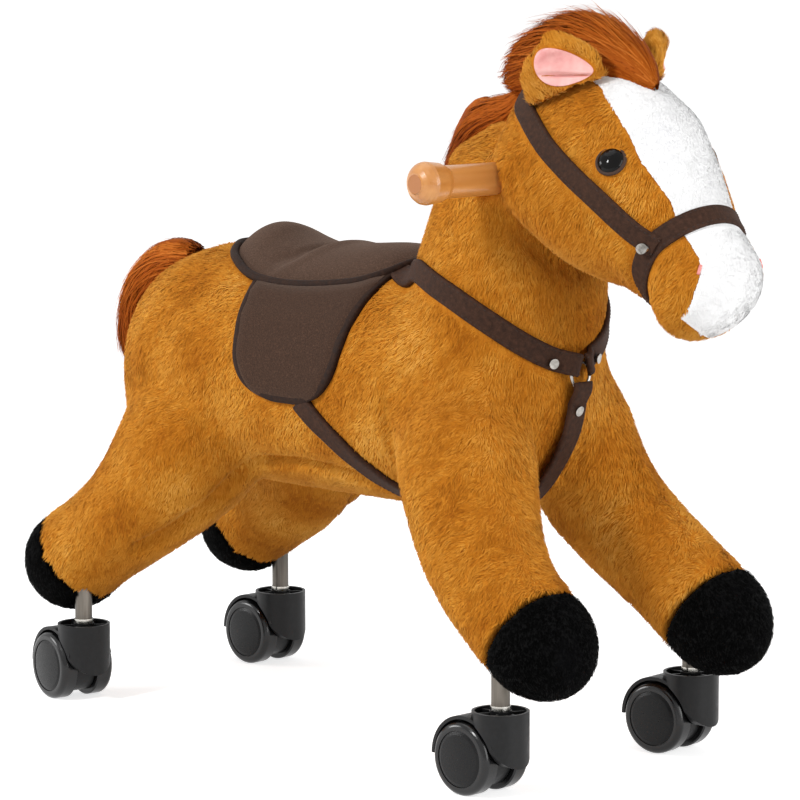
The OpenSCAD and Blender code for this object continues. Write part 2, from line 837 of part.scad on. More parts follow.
// A band drawn from the side along a smooth line of points, which cuts a strap out of a skin
function band_edge(line, half, steps) =
  [for (i = [0 : steps])
    let (t = (len(line) - 1) * i / steps)
    let (d = along(line, t))
    let (p = smooth(line, t))
    [p[0] - half * d[2], p[2] + half * d[0]]];
module band(line, width, steps = 10) {
  there = band_edge(line, width / 2, steps);
  back = band_edge(line, -width / 2, steps);
  rotate([90, 0, 0])
    linear_extrude(height = 2 * torso_w, center = true)
      polygon(concat(there, [for (i = [steps : -1 : 0]) back[i]]));
}
module band_on_head(line, width) {
  on_head() band(line, width);
}
// The bridle's lines are in shares of the head's length and depth, the girth's and collar's in shares of the
// torso's height, measured from the saddle's middle, the front stems and the horse's back
function on_face(p) = [p[0] * head_l, 0, p[1] * head_d];
headpiece_line = [
  for (p = [[-0.613, 0.034], [-0.440, 0.120], [-0.300, 0.164],
            [-0.120, 0.140], [0.080, 0.116], [0.222, 0.080]])
  on_face(p)
];
noseband_line = [
  for (p = [[0.297, 0.560], [0.285, 0.345], [0.263, 0.060], [0.283, -0.224], [0.309, -0.431]])
  on_face(p)
];
girth_line = [
  for (p = [[0.274, -0.526], [0.354, -0.600], [0.457, -0.691],
            [0.594, -0.829], [0.766, -0.989], [0.903, -1.103]])
  [seat_x + p[0] * torso_h, 0, back_h + p[1] * torso_h]
];
collar_line = [
  for (p = [[-0.903, 0.051], [-0.640, -0.006], [-0.423, -0.086],
            [-0.269, -0.194], [-0.171, -0.303], [-0.091, -0.463]])
  [front_x + p[0] * torso_h, 0, back_h + p[1] * torso_h]
];

// Saddle and straps
module seat_form(grow = 0) {
  stations = [
    for (s = [
      [0, 0.12 * cantle_h, 0.24],
      [0.07, 0.59 * cantle_h, 0.56],
      [0.16, cantle_h, 0.78],
      [0.28, 0.62 * cantle_h, 0.92],
      [0.40, 0.36 * cantle_h, 0.99],
      [0.58, 0.65 * hollow_h, 1.00],
      [0.80, hollow_h, 0.94],
      [1, 0.9 * hollow_h, 0.74]
    ])
    [seat_x + (s[0] - 0.5) * seat_l, 0, back_h + s[1] - seat_deep, s[2] * seat_w / 2, seat_deep]
  ];
  loft(stations, 0, 7, 13, 24, [0.4, 0.6], grow);
}
module saddle_seat() {
  color(dark_cloth) difference() {
    seat_form();
    torso_form(seam_gap);
    neck_form(seam_gap);
  }
}
function arc(c, r, from, to, steps) =
  [for (i = [0 : steps])
    let (a = from + (to - from) * i / steps)
    [c[0] + r * cos(a), c[1] + r * sin(a)]];
module flap_outline() {
  low = back_h - flap_drop + flap_round;
  rear = flap_x - flap_l / 2;
  front = flap_x + flap_l / 2;
  polygon(concat(
    [[rear, back_h]],
    arc([rear + flap_slant_rear + flap_round, low], flap_round, 180, 270, 6),
    arc([front - flap_slant_front - flap_round, low], flap_round, 270, 350, 6),
    [[front, back_h]]
  ));
}
module saddle_flap() {
  color(dark_cloth) difference() {
    intersection() {
      torso_form(seam_gap + flap_t);
      rotate([90, 0, 0]) linear_extrude(height = torso_w) flap_outline();
    }
    torso_form(seam_gap);
    neck_form(seam_gap);
    seat_form(seam_gap);
  }
}
strap_in = seam_gap;
strap_out = seam_gap + strap_t;
module body_skin(inner, outer) {
  difference() {
    union() {
      torso_form(outer);
      neck_form(outer);
    }
    torso_form(inner);
    neck_form(inner);
  }
}
module head_skin(inner, outer) {
  difference() {
    head_shape(outer);
    head_shape(inner);
  }
}
module girth_strap() {
  color(dark_cloth) difference() {
    intersection() {
      torso_form(strap_out);
      band(girth_line, strap_w);
    }
    torso_form(strap_in);
    for (i = [FRONT_RIGHT, FRONT_LEFT]) leg_form(i, seam_gap);
    translate([rump_x, -torso_w, back_h - flap_drop - seam_gap]) cube([torso_l, 2 * torso_w, torso_h]);
  }
}
collar_start_x = seat_x + 0.596 * seat_l;
tie_top = back_h - 0.4 * torso_h;
girth_meet_x = seat_x + 0.834 * torso_h;
module breast_collar() {
  color(dark_cloth) difference() {
    intersection() {
      body_skin(strap_in, strap_out);
      band(collar_line, strap_w);
    }
    translate([rump_x, -torso_w, 0]) cube([collar_start_x - rump_x, 2 * torso_w, 2 * torso_h]);
    translate([neck_foot_x, -ring_d / 4, 0]) cube([torso_l, ring_d / 2, 2 * torso_h]);
  }
}
// The room of the collar's two halves, which the tie keeps clear of
module breast_collar_room() {
  both_sides() intersection() {
    band(collar_line, strap_w + 2 * seam_gap);
    translate([neck_foot_x, ring_d / 4 - seam_gap, 0]) cube([torso_l, torso_w, 2 * torso_h]);
  }
}
module breast_tie() {
  color(dark_cloth) difference() {
    intersection() {
      torso_form(strap_out);
      translate([0, -strap_w / 2, 0]) cube([front_x, strap_w, tie_top - ring_d / 4]);
    }
    torso_form(strap_in);
    neck_form(strap_in);
    breast_collar_room();
    band(girth_line, strap_w + 2 * seam_gap);
    translate([0, -strap_w, 0]) cube([girth_meet_x, 2 * strap_w, tie_top]);
  }
}
module headpiece_strap() {
  color(dark_cloth) on_head() difference() {
    intersection() {
      head_skin(strap_in, strap_out);
      band(headpiece_line, bridle_w);
    }
    band(noseband_line, bridle_w + 2 * seam_gap);
  }
}
module noseband() {
  color(dark_cloth) on_head() intersection() {
    head_skin(strap_in, strap_out);
    band(noseband_line, bridle_w);
  }
}

// Metal of the tack
rivet_in = strap_out + seam_gap;
rivet_out = rivet_in + rivet_h;
module level_pin(from, turn) {
  translate(from) rotate([0, 90, turn]) cylinder(d = rivet_d, h = torso_w);
}
module strap_rivets() {
  color(steel) {
    on_head() intersection() {
      head_skin(rivet_in, rivet_out);
      both_sides() level_pin(noseband_line[2], -90);
    }
    intersection() {
      body_skin(rivet_in, rivet_out);
      union() {
        both_sides() level_pin([neck_foot_x, 0, back_h - collar_rivet_drop], -collar_rivet_turn);
        level_pin([neck_foot_x, 0, back_h - tie_rivet_drop], 0);
      }
    }
  }
}
throat_x = skin_point(neck_stations, 0.45, FRONT_ANGLE, 1, 0)[0];
// The chest draws back a little at the foot of the ring
chest_x = front_x - chest_back - 0.007 * torso_h;
ring_x = max(throat_x, chest_x) + strap_out + seam_gap + ring_wire / 2;
module strap_ring() {
  color(steel) translate([ring_x, 0, tie_top]) rotate([0, 90, 0])
    rotate_extrude() translate([(ring_d - ring_wire) / 2, 0]) circle(d = ring_wire, $fn = 16);
}

// Castors, made about the stem with the wheels trailing behind
module at_castor(i) {
  translate([castor_pos[i][0], castor_pos[i][1], 0]) rotate(castor_turn[i]) children();
}
// Turns a profile about the axle. The profile's second coordinate runs along +Y.
module about_axle() {
  translate([-trail, 0, wheel_r]) rotate([-90, 0, 0]) children();
}
module hood_body() {
  bend = hood_low + hood_d / 2;
  intersection() {
    translate([0, 0, hood_low]) cylinder(d = hood_d, h = hood_top - hood_low);
    union() {
      translate([0, 0, bend]) rotate([0, 90, 0]) cylinder(d = hood_d, h = hood_d, center = true);
      translate([-hood_d / 2, -hood_d / 2, bend]) cube([hood_d, hood_d, hood_top - bend]);
    }
  }
}
fender_from = -180;
fender_sweep = 160;
module fender() {
  about_axle() rotate(fender_from) rotate_extrude(angle = fender_sweep)
    translate([0, -fender_w / 2]) square([arch_r + fender_t, fender_w]);
}
module hood_top_recess() {
  difference() {
    translate([0, 0, hood_top - hood_recess]) cylinder(d = hood_d - 2 * hood_wall, h = hood_recess + 1);
    cylinder(d = stem_d + 2 * boss_wall, h = hood_top);
    for (i = [1 : rib_count])
      rotate(360 * i / rib_count) translate([0, -rib_w / 2, 0]) cube([hood_d, rib_w, hood_top - rib_w]);
  }
}
module housing(i) {
  color(castor_black) at_castor(i) difference() {
    union() {
      hood_body();
      fender();
      about_axle() cylinder(r = wheel_r - web_inset, h = web_w, center = true);
    }
    both_sides() about_axle() translate([0, 0, web_w / 2]) cylinder(r = arch_r, h = hood_d);
    about_axle() cylinder(d = axle_d + 2 * run_gap, h = hood_d, center = true);
    translate([0, 0, hood_top - stem_in_hood]) cylinder(d = stem_d + 2 * run_gap, h = stem_in_hood + 1);
    hood_top_recess();
  }
}
axle_half = wheel_gap / 2 + wheel_w - disc_depth - side_gap;
module axle(i) {
  color(steel) at_castor(i) about_axle() cylinder(d = axle_d, h = 2 * axle_half, center = true);
}
// side is -1 for the wheel on the horse's right of the castor and 1 for the one on its left
module wheel(i, side) {
  bore = axle_d / 2 + run_gap;
  seat = disc_d / 2 + seam_gap;
  shoulder = wheel_w - disc_depth;
  color(castor_black) at_castor(i) mirror([0, side < 0 ? 1 : 0, 0])
    about_axle() translate([0, 0, wheel_gap / 2]) rotate_extrude() polygon(concat(
      [[bore, 0], [wheel_r - 1, 0], [wheel_r, 1]],
      arc([wheel_r - rim_round, wheel_w - rim_round], rim_round, 0, 90, 6),
      [[seat, wheel_w], [seat, shoulder], [bore, shoulder]]
    ));
}
module disc(i, side) {
  r = disc_d / 2;
  color(castor_black) at_castor(i) mirror([0, side < 0 ? 1 : 0, 0])
    about_axle() translate([0, 0, wheel_gap / 2 + wheel_w]) rotate_extrude() polygon(concat(
      [[0, -disc_depth], [r, -disc_depth], [r, -0.4]],
      [for (k = [7 : -1 : 0]) [r * k / 8, disc_dome * (1 - pow(k / 8, 2))]]
    ));
}
module castor_stems() {
  color(steel)
    for (foot = castor_pos)
      translate([foot[0], foot[1], 0]) {
        translate([0, 0, side_gap - stem_in_hood])
          cylinder(d = stem_d, h = stem_in_hood + collar_t + stem_in_tube);
        translate([0, 0, side_gap]) cylinder(d = collar_d, h = collar_t);
      }
}

on_castors() torso();
on_castors() neck();
on_castors() head();
on_castors() face_blaze();
on_castors() eyes();
on_castors() ears();
on_castors() ear_linings();
on_castors() mane();
on_castors() forelock();
on_castors() tail();
on_castors() leg(FRONT_RIGHT);  // front_right_leg
on_castors() leg(FRONT_LEFT);  // front_left_leg
on_castors() leg(REAR_RIGHT);  // rear_right_leg
on_castors() leg(REAR_LEFT);  // rear_left_leg
on_castors() for (i = [FRONT_RIGHT, FRONT_LEFT]) hoof(i);  // front_hooves
on_castors() for (i = [REAR_RIGHT, REAR_LEFT]) hoof(i);  // rear_hooves
on_castors() saddle_seat();
on_castors() saddle_flap();  // saddle_flap_right
on_castors() mirror([0, 1, 0]) saddle_flap();  // saddle_flap_left
on_castors() girth_strap();
on_castors() breast_collar();
on_castors() breast_tie();
on_castors() headpiece_strap();
on_castors() noseband();
on_castors() strap_ring();
on_castors() strap_rivets();
on_castors() for (i = [FRONT_RIGHT, FRONT_LEFT]) leg_tube(i);  // front_leg_tubes
on_castors() for (i = [REAR_RIGHT, REAR_LEFT]) leg_tube(i);  // rear_leg_tubes
on_castors() frame_spine();
on_castors() neck_post();
on_castors() seat_board();
on_castors() handlebar();
on_castors() frame_bolts();
on_castors() frame_nuts();
on_castors() castor_stems();
housing(FRONT_RIGHT);  // front_right_housing
axle(FRONT_RIGHT);  // front_right_axle
wheel(FRONT_RIGHT, -1);  // front_right_wheel_r
disc(FRONT_RIGHT, -1);  // front_right_disc_r
wheel(FRONT_RIGHT, 1);  // front_right_wheel_l
disc(FRONT_RIGHT, 1);  // front_right_disc_l
housing(FRONT_LEFT);  // front_left_housing
axle(FRONT_LEFT);  // front_left_axle
wheel(FRONT_LEFT, -1);  // front_left_wheel_r
disc(FRONT_LEFT, -1);  // front_left_disc_r
wheel(FRONT_LEFT, 1);  // front_left_wheel_l
disc(FRONT_LEFT, 1);  // front_left_disc_l
housing(REAR_RIGHT);  // rear_right_housing
axle(REAR_RIGHT);  // rear_right_axle
wheel(REAR_RIGHT, -1);  // rear_right_wheel_r
disc(REAR_RIGHT, -1);  // rear_right_disc_r
wheel(REAR_RIGHT, 1);  // rear_right_wheel_l
disc(REAR_RIGHT, 1);  // rear_right_disc_l
housing(REAR_LEFT);  // rear_left_housing
axle(REAR_LEFT);  // rear_left_axle
wheel(REAR_LEFT, -1);  // rear_left_wheel_r
disc(REAR_LEFT, -1);  // rear_left_disc_r
wheel(REAR_LEFT, 1);  // rear_left_wheel_l
disc(REAR_LEFT, 1);  // rear_left_disc_l
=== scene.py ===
"""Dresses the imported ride-on horse: plush with pile, hair, saddle, straps, materials, light and camera."""
import math

import bmesh
import bpy
import numpy as np
from mathutils import Matrix, Vector
from mathutils.bvhtree import BVHTree


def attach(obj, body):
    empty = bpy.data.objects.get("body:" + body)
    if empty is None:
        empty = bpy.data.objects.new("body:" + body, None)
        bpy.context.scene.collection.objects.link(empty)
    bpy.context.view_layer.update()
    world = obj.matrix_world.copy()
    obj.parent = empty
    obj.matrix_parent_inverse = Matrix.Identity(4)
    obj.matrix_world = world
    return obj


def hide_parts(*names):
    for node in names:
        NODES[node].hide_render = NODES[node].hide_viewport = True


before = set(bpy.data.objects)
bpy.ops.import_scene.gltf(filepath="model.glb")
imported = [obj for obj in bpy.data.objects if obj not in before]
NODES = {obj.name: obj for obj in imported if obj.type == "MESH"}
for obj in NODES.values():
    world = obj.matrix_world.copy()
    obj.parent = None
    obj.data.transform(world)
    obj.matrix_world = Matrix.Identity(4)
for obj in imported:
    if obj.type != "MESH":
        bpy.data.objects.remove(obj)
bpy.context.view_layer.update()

scene = bpy.context.scene
BODY = "horse"
MM = 0.001

# Places that the part's source gives, in metres
HEAD = Matrix.Translation((0.212, 0, 0.396)) @ Matrix.Rotation(math.radians(33), 4, "Y")
HEAD_BACK = HEAD.inverted()
TORSO_AXIS_Z = 0.2555
CORNERS = ("front_right", "front_left", "rear_right", "rear_left")
COLLAR_LINE = np.array([(24, 352), (70, 342), (108, 328), (135, 309), (152, 290), (166, 262)]) * MM
GIRTH_LINE = np.array([(-26, 251), (-12, 238), (6, 222), (30, 198), (60, 170), (84, 150)]) * MM
NOSEBAND_LINE = np.array([(68, 65), (66, 40), (60, 7), (65, -26), (71, -50)]) * MM
HEADPIECE_LINE = np.array([(-141, 4), (-101, 14), (-69, 19), (-28, 16), (18, 13.5), (51, 9)]) * MM
STRAP_WIDTH = 16 * MM
BRIDLE_WIDTH = 14 * MM
BAR_AT = (138 * MM, 408 * MM)

# How the plush is made
VOXEL = 4.0 * MM
FINE_VOXEL = 3.0 * MM
SKIN_INSET = 1.5 * MM
STRAP_LIFT = 1.4 * MM
PILE_SEED = 11


# Colours are written as a screen shows them and turned to linear light here.
def tone(red, green, blue):
    shown = np.array([red, green, blue]) / 255
    low = shown / 12.92
    high = ((shown + 0.055) / 1.055) ** 2.4
    return (*np.where(shown <= 0.04045, low, high).tolist(), 1.0)


def palette(*colours):
    return [tone(*colour) for colour in colours]


GOLD = palette((227, 163, 70), (216, 148, 54), (205, 133, 41), (191, 117, 29), (172, 99, 20))
WHITE_PILE = palette((255, 255, 255), (253, 253, 253), (250, 250, 251))
BLACK_PILE = palette((1, 1, 1), (3, 3, 3), (8, 8, 9))
AUBURN = palette((192, 106, 36), (170, 85, 21), (146, 67, 12), (114, 47, 7))
PILE_GRAIN = 300


# Materials
def new_material(name, **sockets):
    """A Principled material with its constant sockets set, and its node tree and shader."""
    mat = bpy.data.materials.new(name)
    mat.use_nodes = True
    shader = mat.node_tree.nodes["Principled BSDF"]
    for key, value in sockets.items():
        shader.inputs[key.replace("_", " ")].default_value = value
    return mat, mat.node_tree, shader


def add_node(tree, kind, **inputs):
    """A shader node whose inputs are set, or linked where a socket is given."""
    node = tree.nodes.new(f"ShaderNode{kind}")
    for key, value in inputs.items():
        socket = node.inputs[key.replace("_", " ")]
        if isinstance(value, bpy.types.NodeSocket):
            tree.links.new(value, socket)
        else:
            socket.default_value = value
    return node


def noise_value(tree, scale, stretch=(1, 1, 1), detail=4.0):
    """A noise texture's value over the object's own coordinates."""
    coords = add_node(tree, "TexCoord")
    mapping = add_node(tree, "Mapping", Scale=stretch, Vector=coords.outputs["Object"])
    noise = add_node(tree, "TexNoise", Scale=scale, Detail=detail, Roughness=0.55,
                     Vector=mapping.outputs["Vector"])
    return noise.outputs["Fac"]


# A noise texture's values lie mostly in this range
NOISE_LOW = 0.3
NOISE_HIGH = 0.7


def ramp_colour(tree, value, tones, high=NOISE_HIGH):
    """A colour ramp with its tones spread evenly up to a high value."""
    ramp = add_node(tree, "ValToRGB", Fac=value)
    stops = ramp.color_ramp.elements
    while len(stops) < len(tones):
        stops.new(0.5)
    for i, colour in enumerate(tones):
        stops[i].position = NOISE_LOW + (high - NOISE_LOW) * i / (len(tones) - 1)
        stops[i].color = colour
    return ramp.outputs["Color"]


def span_value(tree, value, low, high):
    """Spreads a noise value over a range."""
    spread = add_node(tree, "MapRange", From_Min=NOISE_LOW, From_Max=NOISE_HIGH, To_Min=low, To_Max=high,
                      Value=value)
    return spread.outputs["Result"]


def add_bump(tree, shader, value, height):
    bump = add_node(tree, "Bump", Strength=1.0, Distance=height, Height=value)
    tree.links.new(bump.outputs["Normal"], shader.inputs["Normal"])


def mottled(name, tones, scale, rough, bump, stretch=(1, 1, 1), high=NOISE_HIGH, **sockets):
    """A material whose colour, roughness and bump follow noise. bump is its scale and its height in mm."""
    mat, tree, shader = new_material(name, **sockets)
    value = noise_value(tree, scale, stretch)
    tree.links.new(ramp_colour(tree, value, tones, high), shader.inputs["Base Color"])
    tree.links.new(span_value(tree, value, *rough), shader.inputs["Roughness"])
    add_bump(tree, shader, noise_value(tree, bump[0], stretch), bump[1] * MM)
    return mat


def strand_shades(name, tones, rough, gloss, sheen=0.0, tint=(1, 1, 1, 1)):
    """One material for each shade of a pile, with its roughness from noise."""
    shades = []
    for i, colour in enumerate(tones):
        mat, tree, shader = new_material(f"{name}_{i}", Base_Color=colour, Specular_IOR_Level=gloss,
                                         Sheen_Weight=sheen, Sheen_Tint=tint)
        value = span_value(tree, noise_value(tree, PILE_GRAIN), *rough)
        tree.links.new(value, shader.inputs["Roughness"])
        shades.append(mat)
    return shades


BAR_HALF = 131 * MM


def wood_material():
    """Varnished wood, whose knobs show darker end grain on their flat ends."""
    mat, tree, shader = new_material("turned_wood", Coat_Weight=0.25)
    value = noise_value(tree, 90, (1, 0.06, 1), 2.0)
    grain = ramp_colour(tree, value, palette((188, 122, 58), (202, 137, 71), (212, 150, 86)))
    coords = add_node(tree, "TexCoord")
    place = add_node(tree, "SeparateXYZ", Vector=coords.outputs["Object"])
    size = add_node(tree, "Math", Value=place.outputs["Y"])
    size.operation = "ABSOLUTE"
    at_end = add_node(tree, "Math", Value=size.outputs["Value"])
    at_end.operation = "GREATER_THAN"
    at_end.inputs[1].default_value = BAR_HALF - 0.3 * MM
    mix = add_node(tree, "MixRGB", Fac=at_end.outputs["Value"], Color1=grain, Color2=tone(172, 106, 48))
    tree.links.new(mix.outputs["Color"], shader.inputs["Base Color"])
    tree.links.new(span_value(tree, value, 0.26, 0.4), shader.inputs["Roughness"])
    add_bump(tree, shader, noise_value(tree, 420, (1, 0.08, 1)), 0.04 * MM)
    return mat


# What looks of one kind share: noise scale, roughness, bump scale and height, and other settings
SUEDE = (900, (0.85, 0.97), (1300, 0.35),
         {"high": 0.78, "Specular_IOR_Level": 0.08, "Sheen_Weight": 0.18, "Sheen_Tint": (1.0, 0.76, 0.62, 1)})
LEATHER = (320, (0.6, 0.75), (1500, 0.25), {"Specular_IOR_Level": 0.12})
METAL = (200, (0.12, 0.3), (900, 0.02), {"Metallic": 1.0})
# Each look's material name and tones, and then the same settings
LOOK_ROWS = {
    # The plush backing takes the three darkest golds, which is painted shade between the blades.
    "plush": ("plush_backing", GOLD[:1:-1], 220, (0.8, 0.95), (700, 1.2),
              {"stretch": (1, 1, 0.4), "Specular_IOR_Level": 0.1}),
    "white": ("white_backing", WHITE_PILE[::-1], 260, (0.8, 0.95), (700, 0.6), {"Specular_IOR_Level": 0.1}),
    "hoof": ("hoof_backing", BLACK_PILE, 300, (0.8, 0.95), (800, 1.0), {"Specular_IOR_Level": 0.1}),
    "hair": ("hair_backing", AUBURN[::-1], 120, (0.6, 0.8), (500, 1.0),
             {"stretch": (1, 1, 0.3), "Specular_IOR_Level": 0.15}),
    "satin": ("ear_satin", palette((221, 143, 139), (235, 172, 166), (242, 192, 186)), 60, (0.32, 0.45),
              (900, 0.15), {"Sheen_Weight": 0.2}),
    "saddle": ("saddle_suede", palette((50, 34, 26), (63, 44, 34), (86, 62, 49)), *SUEDE),
    # The seat uses the same suede as the flaps in lighter tones, which is painted top light.
    "seat": ("seat_suede", palette((62, 45, 36), (79, 59, 48), (105, 81, 67)), *SUEDE),
    "strap": ("strap_leather", palette((46, 29, 21), (58, 38, 28), (70, 47, 36)), *LEATHER),
    "piping": ("piping_leather", palette((32, 20, 15), (42, 27, 20), (54, 36, 27)), *LEATHER),
    "thread": ("stitch_thread", palette((34, 22, 17), (64, 44, 34)), 900, (0.6, 0.8), (2500, 0.1),
               {"Specular_IOR_Level": 0.25}),
    "steel": ("worn_steel", palette((70, 66, 62), (112, 106, 98), (150, 144, 136)), 90, (0.3, 0.55),
              (400, 0.05), {"stretch": (1, 1, 0.08), "Metallic": 0.85}),
    "bright": ("bright_metal", palette((190, 186, 176), (222, 220, 214)), *METAL),
    "nickel": ("nickel", palette((118, 114, 108), (186, 182, 176)), *METAL),
    "nylon": ("castor_nylon", palette((8, 8, 9), (14, 14, 15), (21, 21, 22)), 260, (0.34, 0.5), (1800, 0.06),
              {"Specular_IOR_Level": 0.25}),
    "rim": ("wheel_nylon", palette((10, 10, 11), (18, 18, 19)), 160, (0.14, 0.26), (900, 0.02),
            {"Specular_IOR_Level": 0.4}),
    "disc": ("disc_nylon", palette((8, 8, 9), (14, 14, 15)), 300, (0.24, 0.34), (1600, 0.08),
             {"Specular_IOR_Level": 0.2}),
    "plywood": ("plywood", palette((176, 138, 92), (206, 170, 122)), 60, (0.55, 0.7), (300, 0.1),
                {"stretch": (0.2, 1, 4)}),
    "eye": ("eye_plastic", palette((6, 5, 5), (13, 10, 8)), 120, (0.04, 0.08), (500, 0.005),
            {"Specular_IOR_Level": 0.16}),
    "eye_rim": ("eye_rim_felt", palette((40, 24, 15), (66, 40, 24)), 500, (0.7, 0.9), (1500, 0.2), {}),
    "nostril": ("nostril_thread", palette((224, 130, 124), (240, 160, 152)), 700, (0.5, 0.7), (2000, 0.1),
                {}),
}
LOOKS = {key: mottled(*row[:-1], **row[-1]) for key, row in LOOK_ROWS.items()}
LOOKS["wood"] = wood_material()


# Meshes as arrays
def arrays_of(mesh):
    """A mesh's points and triangles."""
    mesh.calc_loop_triangles()
    points = np.empty(len(mesh.vertices) * 3)
    mesh.vertices.foreach_get("co", points)
    tris = np.empty(len(mesh.loop_triangles) * 3, dtype=np.int32)
    mesh.loop_triangles.foreach_get("vertices", tris)
    return points.reshape(-1, 3), tris.reshape(-1, 3)


def unit(vectors):
    return vectors / np.maximum(np.linalg.norm(vectors, axis=-1, keepdims=True), 1e-12)


def point_normals(points, tris):
    a, b, c = (points[tris[:, k]] for k in range(3))
    faces = np.cross(b - a, c - a)
    total = np.zeros_like(points)
    for corner in range(3):
        for axis in range(3):
            total[:, axis] += np.bincount(tris[:, corner], faces[:, axis], len(points))
    return unit(total)


def edges_of(tris):
    pairs = np.concatenate([tris[:, [0, 1]], tris[:, [1, 2]], tris[:, [2, 0]]])
    return np.unique(np.sort(pairs, axis=1), axis=0)


def drift(points, edges):
    """From each point to the mean of its neighbours."""
    count = np.bincount(edges.ravel(), minlength=len(points))
    total = np.zeros_like(points)
    for axis in range(3):
        total[:, axis] += np.bincount(edges[:, 0], points[edges[:, 1], axis], len(points))
        total[:, axis] += np.bincount(edges[:, 1], points[edges[:, 0], axis], len(points))
    return total / np.maximum(count, 1)[:, None] - points


def relaxed(points, tris, steps):
    """Smooths a skin without shrinking it."""
    edges = edges_of(tris)
    for _ in range(steps):
        points = points + 0.5 * drift(points, edges)
        points = points - 0.52 * drift(points, edges)
    return points


def largest_shells(points, tris, keep):
    """Drops all but the shells with the most points."""
    edges = edges_of(tris)
    label = np.arange(len(points))
    while True:
        low = np.minimum(label[edges[:, 0]], label[edges[:, 1]])
        after = label.copy()
        np.minimum.at(after, edges[:, 0], low)
        np.minimum.at(after, edges[:, 1], low)
        after = after[after]
        if np.array_equal(after, label):
            break
        label = after
    names, sizes = np.unique(label, return_counts=True)
    kept = names[np.argsort(-sizes)[:keep]]
    use = np.isin(label, kept)
    index = np.cumsum(use) - 1
    return points[use], index[tris[use[tris[:, 0]]]]


def put(name, data):
    """An object that holds data, put in the scene."""
    thing = bpy.data.objects.new(name, data)
    scene.collection.objects.link(thing)
    return thing


def taken(thing):
    """The points and triangles of an object with its modifiers, which is then removed."""
    graph = bpy.context.evaluated_depsgraph_get()
    meshes = thing.data, bpy.data.meshes.new_from_object(thing.evaluated_get(graph))
    points, tris = arrays_of(meshes[1])
    bpy.data.objects.remove(thing)
    for mesh in meshes:
        bpy.data.meshes.remove(mesh)
    return points, tris


def add_piece(name, points, faces, materials, which=None, normals=None):
    """A mesh object of triangles or quads that rides on the horse."""
    faces = np.asarray(faces, dtype=np.int32)
    mesh = bpy.data.meshes.new(name)
    mesh.vertices.add(len(points))
    mesh.vertices.foreach_set("co", np.asarray(points, dtype=np.float32).ravel())
    mesh.loops.add(faces.size)
    mesh.polygons.add(len(faces))
    mesh.polygons.foreach_set("loop_start", np.arange(0, faces.size, faces.shape[1], dtype=np.int32))
    mesh.polygons.foreach_set("vertices", faces.ravel())
    if which is not None:
        mesh.polygons.foreach_set("material_index", np.asarray(which, dtype=np.int32))
    mesh.polygons.foreach_set("use_smooth", np.full(len(faces), True))
    mesh.update(calc_edges=True)
    for mat in materials:
        mesh.materials.append(mat)
    if normals is not None:
        mesh.normals_split_custom_set_from_vertices(normals.tolist())
    piece = put(name, mesh)
    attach(piece, BODY)
    return piece


def bell(x, middle, width):
    return np.exp(-((x - middle) / width) ** 2)


def curve(table, at):
    """A smooth curve through a table's points."""
    xs, ys = np.asarray(table, float).T
    slopes = np.gradient(ys, xs)
    i = np.clip(np.searchsorted(xs, at) - 1, 0, len(xs) - 2)
    step = xs[i + 1] - xs[i]
    f = np.clip((at - xs[i]) / step, 0, 1)
    rise = ys[i] * (1 + 2 * f) * (1 - f) ** 2 + ys[i + 1] * (3 - 2 * f) * f ** 2
    return rise + step * (slopes[i] * f * (1 - f) ** 2 - slopes[i + 1] * (1 - f) * f ** 2)


def head_local(points):
    """Points in the head's own frame."""
    return points @ np.array(HEAD_BACK.to_3x3()).T + np.array(HEAD_BACK.translation)


def closed_sheet(outer, inner):
    """Points and quads of the sheet between two grids, and the index of the outer grid."""
    count = outer.shape[0] * outer.shape[1]
    index = np.arange(count).reshape(outer.shape[:2])
    corners = (index[:-1, :-1], index[:-1, 1:], index[1:, 1:], index[1:, :-1])
    face = np.stack(corners, axis=-1).reshape(-1, 4)
    rim = np.concatenate([index[0, :-1], index[:-1, -1], index[-1, :0:-1], index[:0:-1, 0]])
    after = np.roll(rim, -1)
    wall = np.stack([after, rim, rim + count, after + count], axis=-1)
    points = np.concatenate([outer.reshape(-1, 3), inner.reshape(-1, 3)])
    return points, np.concatenate([face, face[:, ::-1] + count, wall]), index


def split(quads):
    return np.concatenate([quads[:, [0, 1, 2]], quads[:, [0, 2, 3]]])


def tree_of(points, faces):
    return BVHTree.FromPolygons(np.asarray(points).tolist(), np.asarray(faces).tolist())


def tree_of_nodes(*names):
    points, tris, start = [], [], 0
    for name in names:
        p, t = arrays_of(NODES[name].data)
        points.append(p)
        tris.append(t + start)
        start += len(p)
    return tree_of(np.concatenate(points), np.concatenate(tris))


def distances(tree, places, reach):
    """How far each place is from a tree, up to reach."""
    found = np.full(len(places), reach)
    for i, place in enumerate(places.tolist()):
        hit = tree.find_nearest(place, reach)
        if hit[3] is not None:
            found[i] = hit[3]
    return found


def cast(tree, start, aim, reach=0.5):
    """Where a ray meets a skin, and the skin's way out there, or None."""
    place, normal, _, _ = tree.ray_cast(Vector(start), Vector(aim).normalized(), reach)
    return None if place is None else (np.array(place), np.array(normal))


# Skins of stuffed pieces
def load_nodes(*names):
    bm = bmesh.new()
    for name in names:
        bm.from_mesh(NODES[name].data)
    bmesh.ops.remove_doubles(bm, verts=bm.verts, dist=0.01 * MM)
    return bm


def cut_off(bm, at, keep_side):
    """Cuts a solid by a plane and closes it, keeping what lies on keep_side."""
    geometry = bm.verts[:] + bm.edges[:] + bm.faces[:]
    bmesh.ops.bisect_plane(bm, geom=geometry, plane_co=at, plane_no=keep_side, clear_inner=True)
    rim = [e for e in bm.edges if e.is_boundary]
    bmesh.ops.holes_fill(bm, edges=rim, sides=0)


def joined(*parts):
    """One mesh of several bmeshes, which are freed."""
    mesh = bpy.data.meshes.new("joined")
    whole = bmesh.new()
    for bm in parts:
        bm.to_mesh(mesh)
        bm.free()
        whole.from_mesh(mesh)
    whole.to_mesh(mesh)
    whole.free()
    return mesh


